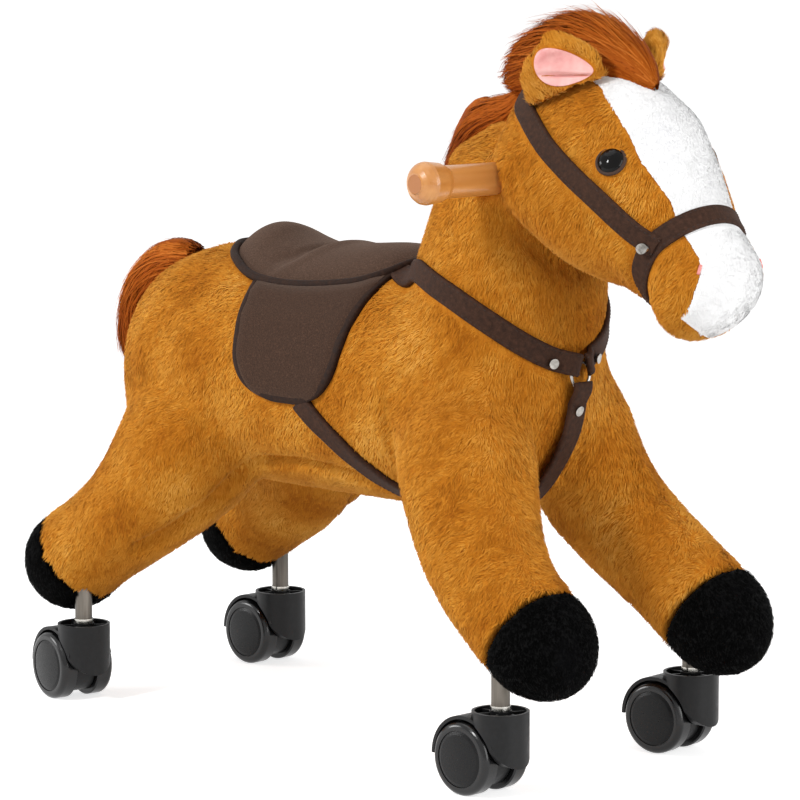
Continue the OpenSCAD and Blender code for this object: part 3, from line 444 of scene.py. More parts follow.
def remeshed(mesh, voxel):
    """The outer skin of a mesh of overlapping solids."""
    thing = put("remesh", mesh)
    step = thing.modifiers.new("voxels", "REMESH")
    step.mode = "VOXEL"
    step.voxel_size = voxel
    return taken(thing)


def plush_skin(parts, shells, steps, voxel=VOXEL, inset=SKIN_INSET):
    """A smooth skin over solids, which lies a little inside them."""
    points, tris = remeshed(joined(*parts), voxel)
    points, tris = largest_shells(points, tris, shells)
    points = relaxed(points, tris, steps)
    return points - inset * point_normals(points, tris), tris


# Heights at which the leg tubes enter the plush
TUBE_ENTRY = {"front_leg_tubes": 0.100, "rear_leg_tubes": 0.092}
TUBE_INSIDE = 12 * MM
TUBE_COVER = 3 * MM


def tube_tops(above=0.0):
    """The leg tubes from where they enter the plush."""
    tops = []
    for name, height in TUBE_ENTRY.items():
        bm = load_nodes(name)
        cut_off(bm, (0, 0, height + above), (0, 0, 1))
        tops.append(bm)
    return tops


def tube_tree():
    """The tubes well inside the plush, to find what the skin must cover."""
    mesh = joined(*tube_tops(TUBE_INSIDE))
    points, tris = arrays_of(mesh)
    bpy.data.meshes.remove(mesh)
    return tree_of(points, tris)


EYE_RISE = 5 * MM
EYE_TILT = math.radians(53)
EYE_RADIUS = 9.25 * MM


def eye_frame(side):
    """The middle of an eye's base and the way it looks. side is -1 on the right."""
    look = (HEAD.to_3x3() @ Vector((0, side * math.sin(EYE_TILT), math.cos(EYE_TILT)))).normalized()
    points, _ = arrays_of(NODES["eyes"].data)
    own = points[points[:, 1] * side > 0]
    apex = own[np.argmax(own @ np.array(look))]
    return Vector(apex) - look * EYE_RISE, look


def eye_plugs():
    """The part of each eye that lies below the plush."""
    plugs = []
    for side in (-1, 1):
        bm = load_nodes("eyes")
        cut_off(bm, (0, 0, 0), (0, side, 0))
        base, look = eye_frame(side)
        cut_off(bm, base, -look)
        plugs.append(bm)
    return plugs


BAR_HIDDEN = 0.04


def bar_middle():
    """The handlebar where it lies in the neck."""
    bm = load_nodes("handlebar")
    for side in (-1, 1):
        cut_off(bm, (0, BAR_HIDDEN * side, 0), (0, -side, 0))
    return bm


INNER_FRAME = ("frame_spine", "neck_post", "seat_board", "frame_bolts", "frame_nuts")
LEGS = tuple(f"{corner}_leg" for corner in CORNERS)
body = load_nodes("torso", "neck", "head", *LEGS, *INNER_FRAME)
BAR_SWELL = 17 * MM
HIP_STEPS = 110


def seam_nearness(points, first, second, width):
    """Near 1 on the line where two nodes meet at the skin."""
    close = np.ones(len(points))
    for node in (first, second):
        close *= bell(distances(tree_of_nodes(node), points, 4 * width), 0, width)
    return close


def flattened(points, tris):
    """Evens out the tops of the legs, so that they run into the trunk."""
    edges = edges_of(tris)
    x, y, z = points.T / MM
    share = bell(x, 135, 55) * bell(z, 240, 50) + 0.4 * bell(x, -250, 40) * bell(z, 215, 40)
    share = share * np.clip((np.abs(y) - 30) / 25, 0, 1)
    for _ in range(HIP_STEPS):
        points = points + 0.5 * share[:, None] * drift(points, edges)
    return points


def kept_over(points, tree, cover):
    """Lifts a skin where it would come nearer than cover to what it hides."""
    points = points.copy()
    for i, place in enumerate(points.tolist()):
        hit, out, _, _ = tree.find_nearest(place, 4 * cover)
        if hit is not None:
            depth = (Vector(place) - hit).dot(out)
            if depth < cover:
                points[i] += np.array(out) * (cover - depth)
    return points


THIGH_AT = np.array([-221, 60, 215]) * MM
THIGH_FILL = 8 * MM
THIGH_REACH = 34 * MM
SHOULDER_SLIM = 8 * MM
BAR_REACH = 32 * MM
JAW_WIDTH = 7 * MM
# The belly panel's seam, along the inside of a rear leg and then under the flank
PANEL_SEAM = np.array([(-187, 97, 123), (-152, 85, 144), (-128, 74, 164), (-112, 66, 182), (-90, 63, 193),
                       (-46, 66, 197), (-6, 63, 194), (30, 58, 190)]) * MM
PANEL_SEAM_WIDTH = 6 * MM
# Heights of forms and depths of creases, in millimetres
PANEL_SEAM_DEPTH = 9
JAW_CREASE = 13
CHIN_DRAW = 8
BROW_RISE = 5
CHEEK_RISE = 6


def between(stops, knots, rows):
    """Places between rows of coordinates, at stops along their knots."""
    return np.stack([np.interp(stops, knots, rows[:, k]) for k in range(3)], axis=1)


def line_distance(points, line):
    """How far each point is from a line on the left side or its mirror image."""
    mirrored = points * np.where(points[:, 1:2] < 0, (1, -1, 1), (1, 1, 1))
    knots = np.arange(len(line))
    stops = np.linspace(0, knots[-1], 10 * len(line))
    nearest = np.full(len(points), np.inf)
    for place in between(stops, knots, line):
        nearest = np.minimum(nearest, np.linalg.norm(mirrored - place, axis=1))
    return nearest


def sculpted(points, tris):
    """What the stuffing does: slim shoulders, full thighs, cheeks, brow, drawn-in muzzle and creases."""
    points = flattened(points, tris)
    outs = point_normals(points, tris)
    side = np.sign(points[:, 1])
    ahead = np.clip((outs[:, 0] + side * outs[:, 1]) / math.sqrt(2), 0, 1) * (points[:, 0] > 60 * MM)
    points = points - outs * (SHOULDER_SLIM * ahead * bell(points[:, 2], 205 * MM, 55 * MM))[:, None]
    beside = points * np.stack([side * side, side, side * side], axis=1) - THIGH_AT
    fill = THIGH_FILL * bell(np.linalg.norm(beside, axis=1), 0, THIGH_REACH)
    points = points + fill[:, None] * np.stack([-np.abs(side), side, 0 * side], axis=1) / math.sqrt(2)
    reach = np.hypot(points[:, 0] - BAR_AT[0], points[:, 2] - BAR_AT[1])
    aside = np.clip(np.abs(points[:, 1]) / (20 * MM) - 1, 0, 1)
    points[:, 1] += side * aside * BAR_SWELL * bell(reach, 0, BAR_REACH)
    x, y, z = head_local(points).T / MM
    on_head = (np.abs(z) < 80) & (x > -90) & (points[:, 2] > 0.3)
    band = np.interp(-z * MM, -NOSEBAND_LINE[:, 1], NOSEBAND_LINE[:, 0]) / MM
    rise = -np.interp(z, [-55, -20, 10], [7, 5, 2.5]) * bell(x, band, 10)
    rise -= CHIN_DRAW * bell(x, 50, 27) * np.clip((-z - 10) / 25, 0, 1)
    rise += BROW_RISE * np.clip(1 - (y / 46) ** 4, 0, 1) * (z > 20) * bell(x, -5, 32)
    rise += CHEEK_RISE * bell(x, -12, 28) * bell(z, -20, 24) * np.clip(np.abs(y) / 25 - 1, 0, 1)
    rise = rise * on_head
    rise -= JAW_CREASE * seam_nearness(points, "head", "neck", JAW_WIDTH) * (points[:, 2] < 0.43)
    rise -= PANEL_SEAM_DEPTH * bell(line_distance(points, PANEL_SEAM), 0, PANEL_SEAM_WIDTH)
    return points + rise[:, None] * MM * point_normals(points, tris)


SKIN, SKIN_TRIS = plush_skin([body, bar_middle(), *tube_tops(), *eye_plugs()], shells=1, steps=24)
SKIN = kept_over(sculpted(SKIN, SKIN_TRIS), tube_tree(), TUBE_COVER)
SKIN_TREE = tree_of(SKIN, SKIN_TRIS)
plush_body = add_piece("plush_body", SKIN, SKIN_TRIS, [LOOKS["plush"]])
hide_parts("torso", "neck", "head", *LEGS)

hoof_skins = {}
for end in ("front", "rear"):
    points, tris = plush_skin([load_nodes(f"{end}_hooves")], shells=2, steps=10, voxel=FINE_VOXEL)
    piece = add_piece(f"plush_{end}_hooves", points, tris, [LOOKS["hoof"]])
    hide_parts(f"{end}_hooves")
    hoof_skins[end] = (points, tris)

# Ears
EAR_HOLLOW = 5 * MM
EAR_ROLL = 2 * MM
EAR_THICKER = 7 * MM


def thickened(points):
    """Makes the ears thicker, outwards and to the front."""
    for side in (-1, 1):
        own = points[:, 1] * side > 0
        reach = points[own] @ np.array([1, side, 0]) / math.sqrt(2)
        share = (reach - reach.min()) / np.ptp(reach)
        points[own] += EAR_THICKER * share[:, None] * np.array([1, side, 0]) / math.sqrt(2)
    return points


def lining_frame(side):
    """The middle of an ear's lining, its ways along, up and out, and its half sizes along and up."""
    points, _ = arrays_of(NODES["ear_linings"].data)
    own = points[points[:, 1] * side > 0]
    ear, _ = arrays_of(NODES["ears"].data)
    middle = own.mean(axis=0) + 0.5 * EAR_THICKER * np.array([1, side, 0]) / math.sqrt(2)
    along, up, out = np.linalg.svd(own - own.mean(axis=0), full_matrices=False)[2]
    along = along * np.sign(along[0])
    up = up * np.sign(up[2])
    out = out * np.sign(out @ (middle - ear[ear[:, 1] * side > 0].mean(axis=0)))
    return middle, np.stack([along, up, out]), np.ptp(own @ along) / 2, np.ptp(own @ up) / 2


def hollowed(points):
    """Presses the ears in where their linings lie, with a thick roll round the hollow."""
    for side in (-1, 1):
        middle, ways, long, tall = lining_frame(side)
        local = (points - middle) @ ways.T
        far = np.hypot(local[:, 0] / long, local[:, 1] / tall)
        front = np.clip(1 + local[:, 2] / (6 * MM), 0, 1)
        depth = EAR_HOLLOW * np.clip(1 - far ** 2, 0, 1) - EAR_ROLL * bell(far, 1.3, 0.3)
        points = points - ways[2] * (depth * front * (points[:, 1] * side > 0))[:, None]
    return points


EARS, EAR_TRIS = plush_skin([load_nodes("ears")], shells=2, steps=8, voxel=2.5 * MM, inset=1.0 * MM)
EARS = hollowed(thickened(EARS))
ear_piece = add_piece("plush_ears", EARS, EAR_TRIS, [LOOKS["plush"]])
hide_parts("ears")
EAR_TREE = tree_of(EARS, EAR_TRIS)
LINING_STEPS = 45
LINING_LIFT = 0.9 * MM
LINING_CROWN = 2.4 * MM
LINING_THICK = 1.4 * MM
# The lining's roll and fold, in millimetres
LINING_ROLL = 2.4
LINING_FOLD = 3.6


def lining_piece(name, side, nodes):
    """A leaf of satin in an ear's hollow, folded along its lower part."""
    middle, ways, long, tall = lining_frame(side)
    s, t = np.meshgrid(np.linspace(-1, 1, LINING_STEPS), np.linspace(-1, 1, LINING_STEPS), indexing="ij")
    u = s * np.sqrt(1 - t ** 2 / 2)
    v = t * np.sqrt(1 - s ** 2 / 2)
    flat = np.stack([u * long * 1.05, tall * (v * (1.0 - 0.42 * u) - 0.25 * u)], axis=-1)
    inside = np.clip(1 - u ** 2 - v ** 2, 0, 1)
    fold = (LINING_ROLL * bell(v, -0.15, 0.22) - LINING_FOLD * bell(v, -0.46, 0.09)) * np.sqrt(inside) * MM
    outer = np.empty((*u.shape, 3))
    for i in range(LINING_STEPS):
        for j in range(LINING_STEPS):
            start = middle + flat[i, j] @ ways[:2] + ways[2] * 20 * MM
            hit, _ = cast(EAR_TREE, start, -ways[2])
            outer[i, j] = hit + ways[2] * (LINING_LIFT + LINING_CROWN * inside[i, j] + fold[i, j])
    points, quads, _ = closed_sheet(outer, outer - ways[2] * LINING_THICK)
    corner = np.cross(outer[0, 1] - outer[0, 0], outer[1, 0] - outer[0, 0])
    if corner @ ways[2] < 0:
        quads = quads[:, ::-1]
    piece = add_piece(name, points, quads, [LOOKS["satin"]])
    if nodes:
        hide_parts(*nodes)
    return points, split(quads)


LININGS = [lining_piece("right_ear_lining", -1, ["ear_linings"]), lining_piece("left_ear_lining", 1, [])]


# Straps
PATH_STEP = 4 * MM


def eased(rows, closed, passes=4):
    """Evens out a path."""
    for _ in range(passes):
        before = np.roll(rows, 1, axis=0)
        after = np.roll(rows, -1, axis=0)
        mean = 0.25 * before + 0.5 * rows + 0.25 * after
        if not closed:
            mean[0], mean[-1] = rows[0], rows[-1]
        rows = mean
    return rows


def respaced(path, outs, step, closed):
    """The path with its points a step apart."""
    if closed:
        path = np.vstack([path, path[:1]])
        outs = np.vstack([outs, outs[:1]])
    lengths = np.concatenate([[0], np.cumsum(np.linalg.norm(np.diff(path, axis=0), axis=1))])
    count = max(3, int(round(lengths[-1] / step)))
    stops = np.linspace(0, lengths[-1], count + 1)
    if closed:
        stops = stops[:-1]
    return between(stops, lengths, path), unit(between(stops, lengths, outs))


def path_frames(path, outs, closed):
    if closed:
        ahead = np.roll(path, -1, axis=0) - np.roll(path, 1, axis=0)
    else:
        ahead = np.gradient(path, axis=0)
    ahead = unit(ahead)
    outs = unit(outs - np.sum(outs * ahead, axis=1, keepdims=True) * ahead)
    return ahead, outs, np.cross(outs, ahead)


def sweep(path, outs, profile, closed):
    """A tube of one section, given as places across and out from the path."""
    _, outs, across = path_frames(path, outs, closed)
    section = np.asarray(profile)
    rings = path[:, None] + across[:, None] * section[None, :, :1] + outs[:, None] * section[None, :, 1:]
    n, m = len(path), len(section)
    points = rings.reshape(-1, 3)
    quads = []
    for i in range(n if closed else n - 1):
        after = (i + 1) % n
        for j in range(m):
            k = (j + 1) % m
            quads.append((i * m + j, i * m + k, after * m + k, after * m + j))
    tris = [(q[0], q[1], q[2]) for q in quads] + [(q[0], q[2], q[3]) for q in quads]
    if not closed:
        tris += [(0, j + 1, j) for j in range(1, m - 1)]
        top = (n - 1) * m
        tris += [(top, top + j, top + j + 1) for j in range(1, m - 1)]
    return points, np.array(tris)


def strap_section(width, thick):
    half = width / 2
    top = [(-1.0, -0.4), (-1.0, 0.5), (-0.94, 0.85), (-0.82, 1.0), (-0.4, 0.97), (0.4, 0.97), (0.82, 1.0),
           (0.94, 0.85), (1.0, 0.5), (1.0, -0.4)]
    return [(s * half, h * thick) for s, h in reversed(top)]


def round_section(radius, count):
    turns = np.linspace(2 * math.pi, 0, count, endpoint=False)
    return [(radius * math.cos(a), radius * math.sin(a)) for a in turns]


STITCHES = {}


def stitch_row(path, outs, closed, offset, height, kind="strap", length=2.3 * MM, pitch=3.6 * MM,
               half=0.42 * MM):
    """A row of stitches beside a path, kept until all of one kind become a piece."""
    path, outs = respaced(path, outs, pitch, closed)
    ahead, outs, across = path_frames(path, outs, closed)
    middle = path + across * offset + outs * height
    STITCHES.setdefault(kind, []).append((middle, ahead * length / 2, across * half, outs * half))


def stitch_piece(kind, look):
    """All stitches of one kind as small pillows of thread."""
    middle, along, side, out = (np.concatenate(part) for part in zip(*STITCHES[kind]))
    ring = [(-1, 0, 0), (-0.55, -1, 0), (-0.55, 1, 0), (-0.55, 0, 1), (0.55, -1, 0), (0.55, 1, 0),
            (0.55, 0, 1), (1, 0, 0)]
    points = np.stack([middle + a * along + s * side + o * out for a, s, o in ring], axis=1)
    faces = np.array([(0, 1, 3), (0, 3, 2), (1, 4, 6), (1, 6, 3), (3, 6, 5), (3, 5, 2), (4, 7, 6), (6, 7, 5)])
    start = np.arange(len(middle))[:, None, None] * len(ring)
    faces = (faces[None] + start).reshape(-1, 3)
    add_piece(f"stitches_{kind}", points.reshape(-1, 3), faces, [look])


# Meshes that lie on the plush, near which the pile is shorter
COVERS = []
RING_POINTS = arrays_of(NODES["strap_ring"].data)[0]
RING_MIDDLE = (RING_POINTS.min(axis=0) + RING_POINTS.max(axis=0)) / 2
RING_FRONT = RING_POINTS[:, 0].max() + 1.2 * MM
RING_REACH = (11 * MM, 19 * MM)


def over_ring(path):
    """Lifts a strap's line near the ring, so that the strap's end passes over the wire."""
    apart = np.linalg.norm((path - RING_MIDDLE)[:, 1:], axis=1)
    share = np.interp(apart, RING_REACH, (1, 0))
    path = path.copy()
    path[:, 0] += share * np.maximum(RING_FRONT - path[:, 0], 0)
    return path


def path_of(hits):
    """The places that rays met, and the ways out there."""
    return tuple(np.array(rows) for rows in zip(*hits))


def settled(hits, passes):
    """The line through hits evened out and laid on the skin again."""
    path, outs = path_of(hits)
    path, _ = respaced(path, outs, PATH_STEP, False)
    laid = [SKIN_TREE.find_nearest(Vector(place)) for place in eased(path, False, passes)]
    return [(np.array(place), np.array(normal)) for place, normal, _, _ in laid]


def strap_piece(name, hits, width, closed, nodes, thick=2.4 * MM, lift=STRAP_LIFT, step=PATH_STEP):
    """A strap along the places that rays met, with a row of stitches by each edge."""
    path, outs = path_of(hits)
    path, outs = eased(path, closed), unit(eased(outs, closed, 8))
    path, outs = respaced(path, outs, step, closed)
    path = over_ring(path + outs * lift)
    points, tris = sweep(path, outs, strap_section(width, thick), closed)
    piece = add_piece(name, points, tris, [LOOKS["strap"]])
    if nodes:
        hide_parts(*nodes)
    for side in (-1, 1):
        stitch_row(path, outs, closed, side * (width / 2 - 2.0 * MM), thick)
    COVERS.append((points, tris))


def moved_in(hits, inset):
    return [(place - normal * inset, normal) for place, normal in hits]


# Rays start this far outside or at this height, and find a strap's line in some steps
FAR = 0.3
ABOVE = 0.5
LINE_STEPS = 6
NOSEBAND_STEPS = 5
# The collar starts under the saddle's front corner and joins its line ahead of COLLAR_LEAVES
COLLAR_START = (18 * MM, 31 * MM)
COLLAR_LEAVES = 55 * MM
COLLAR_AXIS_X = 0.092
COLLAR_TURN = (119, 3.4)
FINE_STEP = 2.5 * MM


def skin_below(x, y):
    return cast(SKIN_TREE, (x, y, ABOVE), (0, 0, -1))


def collar_hits(side):
    """Round the chest, from under the saddle's front to the ring."""
    hits = []
    for angle in np.radians(np.linspace(*COLLAR_TURN, 64)):
        way = np.array([math.cos(angle), side * math.sin(angle), 0])
        height = 0.30
        for _ in range(LINE_STEPS):
            hit = cast(SKIN_TREE, np.array([COLLAR_AXIS_X, 0, height]) + way * FAR, -way)
            height = np.interp(hit[0][0], COLLAR_LINE[:, 0], COLLAR_LINE[:, 1])
        hits.append(hit)
    hits = [hit for hit in hits if hit[0][0] > COLLAR_LEAVES]
    start = np.array([COLLAR_START[0], side * COLLAR_START[1]])
    steps = [start + (hits[0][0][:2] - start) * share for share in np.arange(0, 0.95, 0.15)]
    return settled([skin_below(x, y) for x, y in steps] + hits, 12)


TORSO_TREE = tree_of_nodes("torso")
CHEST_TREE = tree_of_nodes("torso", "neck")


def girth_hits():
    """Under the belly from flap to flap, on the torso alone, as the legs lie over it."""
    hits = []
    for angle in np.radians(np.arange(-84, 85, 2)):
        way = np.array([0, math.sin(angle), -math.cos(angle)])
        x = 0.03
        for _ in range(LINE_STEPS):
            hit = cast(TORSO_TREE, np.array([x, 0, TORSO_AXIS_Z]) + way * FAR, -way)
            x = np.interp(-hit[0][2], -GIRTH_LINE[:, 1], GIRTH_LINE[:, 0])
        hits.append(hit)
    return moved_in(hits, SKIN_INSET)


def tie_hits():
    """Down the chest from the ring and back under the belly to the girth."""
    hits = []
    for angle in np.radians(np.arange(12, -108, -3)):
        way = np.array([math.cos(angle), 0, math.sin(angle)])
        hits.append(cast(CHEST_TREE, np.array([0.10, 0, TORSO_AXIS_Z]) + way * FAR, -way))
    return moved_in(hits, SKIN_INSET)


def head_hit(start, aim):
    return cast(SKIN_TREE, HEAD @ Vector(start), HEAD.to_3x3() @ Vector(aim), 0.2)


def noseband_hits():
    hits = []
    for angle in np.radians(np.arange(0, 360, 4)):
        way = np.array([0, math.cos(angle), math.sin(angle)])
        x = 0.06
        for _ in range(NOSEBAND_STEPS):
            hit = head_hit(np.array([x, 0, -10 * MM]) + way * 0.12, -way)
            rise = (HEAD_BACK @ Vector(hit[0]))[2]
            x = np.interp(-rise, -NOSEBAND_LINE[:, 1], NOSEBAND_LINE[:, 0])
        hits.append(hit)
    return hits


def cheek_hits(side):
    hits = []
    for x in np.arange(-88, 67, 4) * MM:
        height = np.interp(x, HEADPIECE_LINE[:, 0], HEADPIECE_LINE[:, 1])
        hits.append(head_hit((x, 0.12 * side, height), (0, -side, 0)))
    return hits


def headpiece_hits():
    """From the noseband along the right cheek, over the poll behind the ears and down the left cheek."""
    poll = []
    for angle in np.radians(np.arange(-56, 57, 8)):
        way = np.array([-0.62, math.sin(angle), math.cos(angle)])
        poll.append(head_hit(np.array([-70 * MM, 0, 0]) + way * 0.15, -way))
    return cheek_hits(-1)[::-1] + [h for h in poll if h] + cheek_hits(1)


for label, side, nodes in (("right", -1, ["breast_collar"]), ("left", 1, [])):
    strap_piece(f"{label}_collar_strap", collar_hits(side), STRAP_WIDTH, False, nodes, step=FINE_STEP)
strap_piece("girth_webbing", girth_hits(), STRAP_WIDTH, False, ["girth_strap"])
strap_piece("chest_tie", tie_hits(), STRAP_WIDTH, False, ["breast_tie"], step=FINE_STEP)
strap_piece("nose_strap", noseband_hits(), BRIDLE_WIDTH, True, ["noseband"])
strap_piece("cheek_and_poll_strap", headpiece_hits(), BRIDLE_WIDTH, False, ["headpiece_strap"],
            lift=STRAP_LIFT + 0.8 * MM)


# Saddle
# The seat's plan gives half widths along x, and its crown gives heights
SEAT_PLAN = np.array([(-168, 12), (-155, 30), (-133, 45), (-114, 53), (-81, 58), (-42, 57), (-16, 53),
                      (6, 47), (16, 39), (21, 29), (23, 15)]) * MM
SEAT_CROWN = np.array([(-168, 345), (-155, 354), (-141, 359), (-128, 358), (-116, 353), (-100, 348),
                       (-85, 345.5), (-60, 348), (-40, 349.5), (-8, 351.5), (10, 350), (23, 346)]) * MM
SEAT_ROWS = 90
SEAT_COLUMNS = 41
SEAT_RIM = 2 * MM
SEAT_FRAMES = 14
SEAT_PRESSURE = 4
SEAT_SWELL = 4 * MM
PIPING = 3.3 * MM
# The seat's crease, roll and pucker, in millimetres
CREASE_X = -78
CREASE_DEPTH = 6.0
ROLL_RISE = 3.2
PUCKER_AT = (-92, -42)
PUCKER_FOLDS = 6
PUCKER_DEPTH = 1.8


def skin_height(x, y):
    return skin_below(x, y)[0][2]


def swollen(grid):
    """Lets a grid of cloth swell with its border held. No point moves further than SEAT_SWELL."""
    points, quads, index = closed_sheet(grid, grid)
    count = index.size
    mesh = bpy.data.meshes.new("pad")
    mesh.from_pydata(points[:count].tolist(), [], quads[np.all(quads < count, axis=1)].tolist())
    pad = put("pad", mesh)
    held = pad.vertex_groups.new(name="held")
    border = np.concatenate([index[0], index[-1], index[:, 0], index[:, -1]])
    held.add(border.tolist(), 1.0, "REPLACE")
    cloth = pad.modifiers.new("cloth", "CLOTH")
    cloth.settings.vertex_group_mass = "held"
    cloth.settings.use_pressure = True
    cloth.settings.uniform_pressure_force = SEAT_PRESSURE
    cloth.settings.effector_weights.gravity = 0
    cloth.settings.quality = 4
    cloth.point_cache.frame_start = 1
    cloth.point_cache.frame_end = SEAT_FRAMES
    for number in range(1, SEAT_FRAMES + 1):
        scene.frame_set(number)
    moved, _ = taken(pad)
    scene.frame_set(1)
    move = moved.reshape(grid.shape) - grid
    length = np.linalg.norm(move, axis=-1, keepdims=True)
    return grid + move * np.minimum(1, SEAT_SWELL / np.maximum(length, 1e-9))


def seat_folds(grid, foot):
    """Presses the crease by the cantle, lifts the roll ahead of it and gathers the cloth at the pucker."""
    x, y = grid[:, :, 0] / MM, grid[:, :, 1] / MM
    ahead = x - CREASE_X + 0.006 * y ** 2
    rise = -CREASE_DEPTH * bell(ahead, -4, 5) * bell(y, -16, 38)
    rise = rise + ROLL_RISE * bell(ahead, 12, 9) * bell(y, -10, 44)
    for angle in np.radians(20 + 32 * np.arange(PUCKER_FOLDS)):
        along = (x - PUCKER_AT[0]) * math.cos(angle) + (y - PUCKER_AT[1]) * math.sin(angle)
        beside = -(x - PUCKER_AT[0]) * math.sin(angle) + (y - PUCKER_AT[1]) * math.cos(angle)
        rise = rise - PUCKER_DEPTH * bell(beside, 0, 2.2) * np.where(along > 0, bell(along, 8, 9), 0)
    lifted = grid.copy()
    lifted[1:-1, 1:-1, 2] += rise[1:-1, 1:-1] * MM
    lifted[:, :, 2] = np.maximum(lifted[:, :, 2], foot[:, :, 2] + 3 * MM)
    return lifted


def seat_grids():
    """The seat's top and its underside, in rows from the cantle forwards and columns from left to right."""
    turn = np.cos(np.linspace(math.pi, 0, SEAT_ROWS))
    xs = np.interp(turn, [-1, 1], SEAT_PLAN[[0, -1], 0])
    shares = np.sin(np.linspace(math.pi / 2, -math.pi / 2, SEAT_COLUMNS))
    halves, crowns = curve(SEAT_PLAN, xs), curve(SEAT_CROWN, xs)
    top = np.empty((SEAT_ROWS, SEAT_COLUMNS, 3))
    foot = np.empty_like(top)
    for i, (x, half, crown) in enumerate(zip(xs, halves, crowns)):
        rim = SEAT_RIM + 0.5 * (skin_height(x, half) + skin_height(x, -half))
        power = np.interp(x, [-130 * MM, -60 * MM], [2.0, 2.6])
        for j, share in enumerate(shares):
            y = share * half
            foot[i, j] = (x, y, skin_height(x, y) - 0.5 * MM)
            rise = rim + max(0, crown - rim) * (1 - abs(share) ** power)
            top[i, j] = (x, y, max(rise, foot[i, j, 2] + 2 * MM))
    return top, foot


top, foot = seat_grids()
top = swollen(top)
points, quads, _ = closed_sheet(seat_folds(top, foot), foot)
seat_pad = add_piece("saddle_pad", points, quads, [LOOKS["seat"]])
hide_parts("saddle_seat")
rounder = seat_pad.modifiers.new("finer", "SUBSURF")
rounder.levels = 1
rounder.render_levels = 1
COVERS.append((points, split(quads)))


def seat_edge():
    """Round the seat where it meets the plush, from the tail end along the right and back along the left."""
    turn = np.cos(np.linspace(math.pi, 0, 44))
    xs = np.interp(turn, [-1, 1], SEAT_PLAN[[0, -1], 0])
    halves = curve(SEAT_PLAN, xs) + 1.6 * MM
    right = np.stack([xs, -halves], axis=1)
    left = np.stack([xs[::-1], halves[::-1]], axis=1)
    return [skin_below(x, y) for x, y in np.concatenate([right, left])]


edge_path, edge_outs = path_of(seat_edge())
edge_path, edge_outs = eased(edge_path, True, 3), unit(eased(edge_outs, True, 6))
edge_path, edge_outs = respaced(edge_path, edge_outs, PATH_STEP, True)
points, tris = sweep(edge_path + edge_outs * (PIPING + 0.3 * MM), edge_outs, round_section(PIPING, 12), True)
add_piece("saddle_piping", points, tris, [LOOKS["piping"]])
COVERS.append((points, tris))

FLAP_TOP = 0.327
FLAP_HIGHEST = 0.334
FLAP_LOW = 0.245
FLAP_ROUND = 38 * MM
FLAP_ROWS = 26
FLAP_COLUMNS = 36
# A flap's thickness at its edge and what it swells by, in millimetres
FLAP_EDGE = 2.6
FLAP_SWELL = 1.8


def flap_span(height):
    """Where a flap starts and ends at a height."""
    rear_top, front_top, top = -104 * MM, 22 * MM, 343 * MM
    rear_mid, front_mid, low = -46 * MM, -22 * MM, FLAP_LOW + FLAP_ROUND
    turn = math.radians(350)
    front_edge = front_mid + FLAP_ROUND * math.cos(turn)
    front_low = low + FLAP_ROUND * math.sin(turn)
    if height < low:
        rear = rear_mid - 1.12 * math.sqrt(max(0, FLAP_ROUND ** 2 - (low - height) ** 2))
    else:
        rear = np.interp(height, [low, top], [rear_mid - 1.12 * FLAP_ROUND, rear_top])
    if height < front_low:
        front = front_mid + math.sqrt(max(0, FLAP_ROUND ** 2 - (low - height) ** 2))
    else:
        front = np.interp(height, [front_low, top], [front_edge, front_top])
    return rear, front


def flap_grid(side):
    """Places and ways out on the plush under a flap, in rows from the seat's edge to its foot."""
    drops = np.linspace(0, 1, FLAP_ROWS) ** 0.8
    places, ways = [], []
    for drop in drops:
        height = FLAP_TOP + (FLAP_LOW - FLAP_TOP) * drop
        rear, front = flap_span(height)
        for x in np.linspace(rear, front, FLAP_COLUMNS):
            seam = min(FLAP_HIGHEST, skin_height(x, side * (curve(SEAT_PLAN, x) + PIPING)))
            at = height + (seam - FLAP_TOP) * (1 - drop)
            place, way = cast(SKIN_TREE, (x, side * FAR, at), (0, -side, 0))
            places.append(place)
            ways.append(way)
    shape = (FLAP_ROWS, FLAP_COLUMNS, 3)
    return np.array(places).reshape(shape), unit(np.array(ways).reshape(shape))


def flap_piece(name, side, node):
    places, ways = flap_grid(side)
    row = np.arange(FLAP_ROWS)[:, None]
    column = np.arange(FLAP_COLUMNS)[None, :]
    inside = np.minimum(np.minimum(column, FLAP_COLUMNS - 1 - column) / 3.0, (FLAP_ROWS - 1 - row) / 3.0)
    inside = np.clip(inside, 0, 1)
    swell = (FLAP_EDGE + FLAP_SWELL * np.sqrt(inside)) * MM + STRAP_LIFT - 0.8 * MM
    outer = places + ways * swell[:, :, None]
    inner = places + ways * 0.6 * MM
    points, quads, index = closed_sheet(outer, inner)
    if side < 0:
        quads = quads[:, ::-1]
    piece = add_piece(name, points, quads, [LOOKS["saddle"]])
    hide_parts(node)
    COVERS.append((points, split(quads)))
    hem = np.concatenate([index[:, 0], index[-1, 1:], index[-2::-1, -1]])
    flap_binding(f"{name}_binding", points[hem], ways.reshape(-1, 3)[hem], side)
    down, along = np.diff(outer, axis=0)[:, 1:], np.diff(outer, axis=1)[1:]
    cut = float(np.linalg.norm(np.cross(down, along), axis=-1).sum())
    return piece, cut


BINDING_WIDTH = 7 * MM


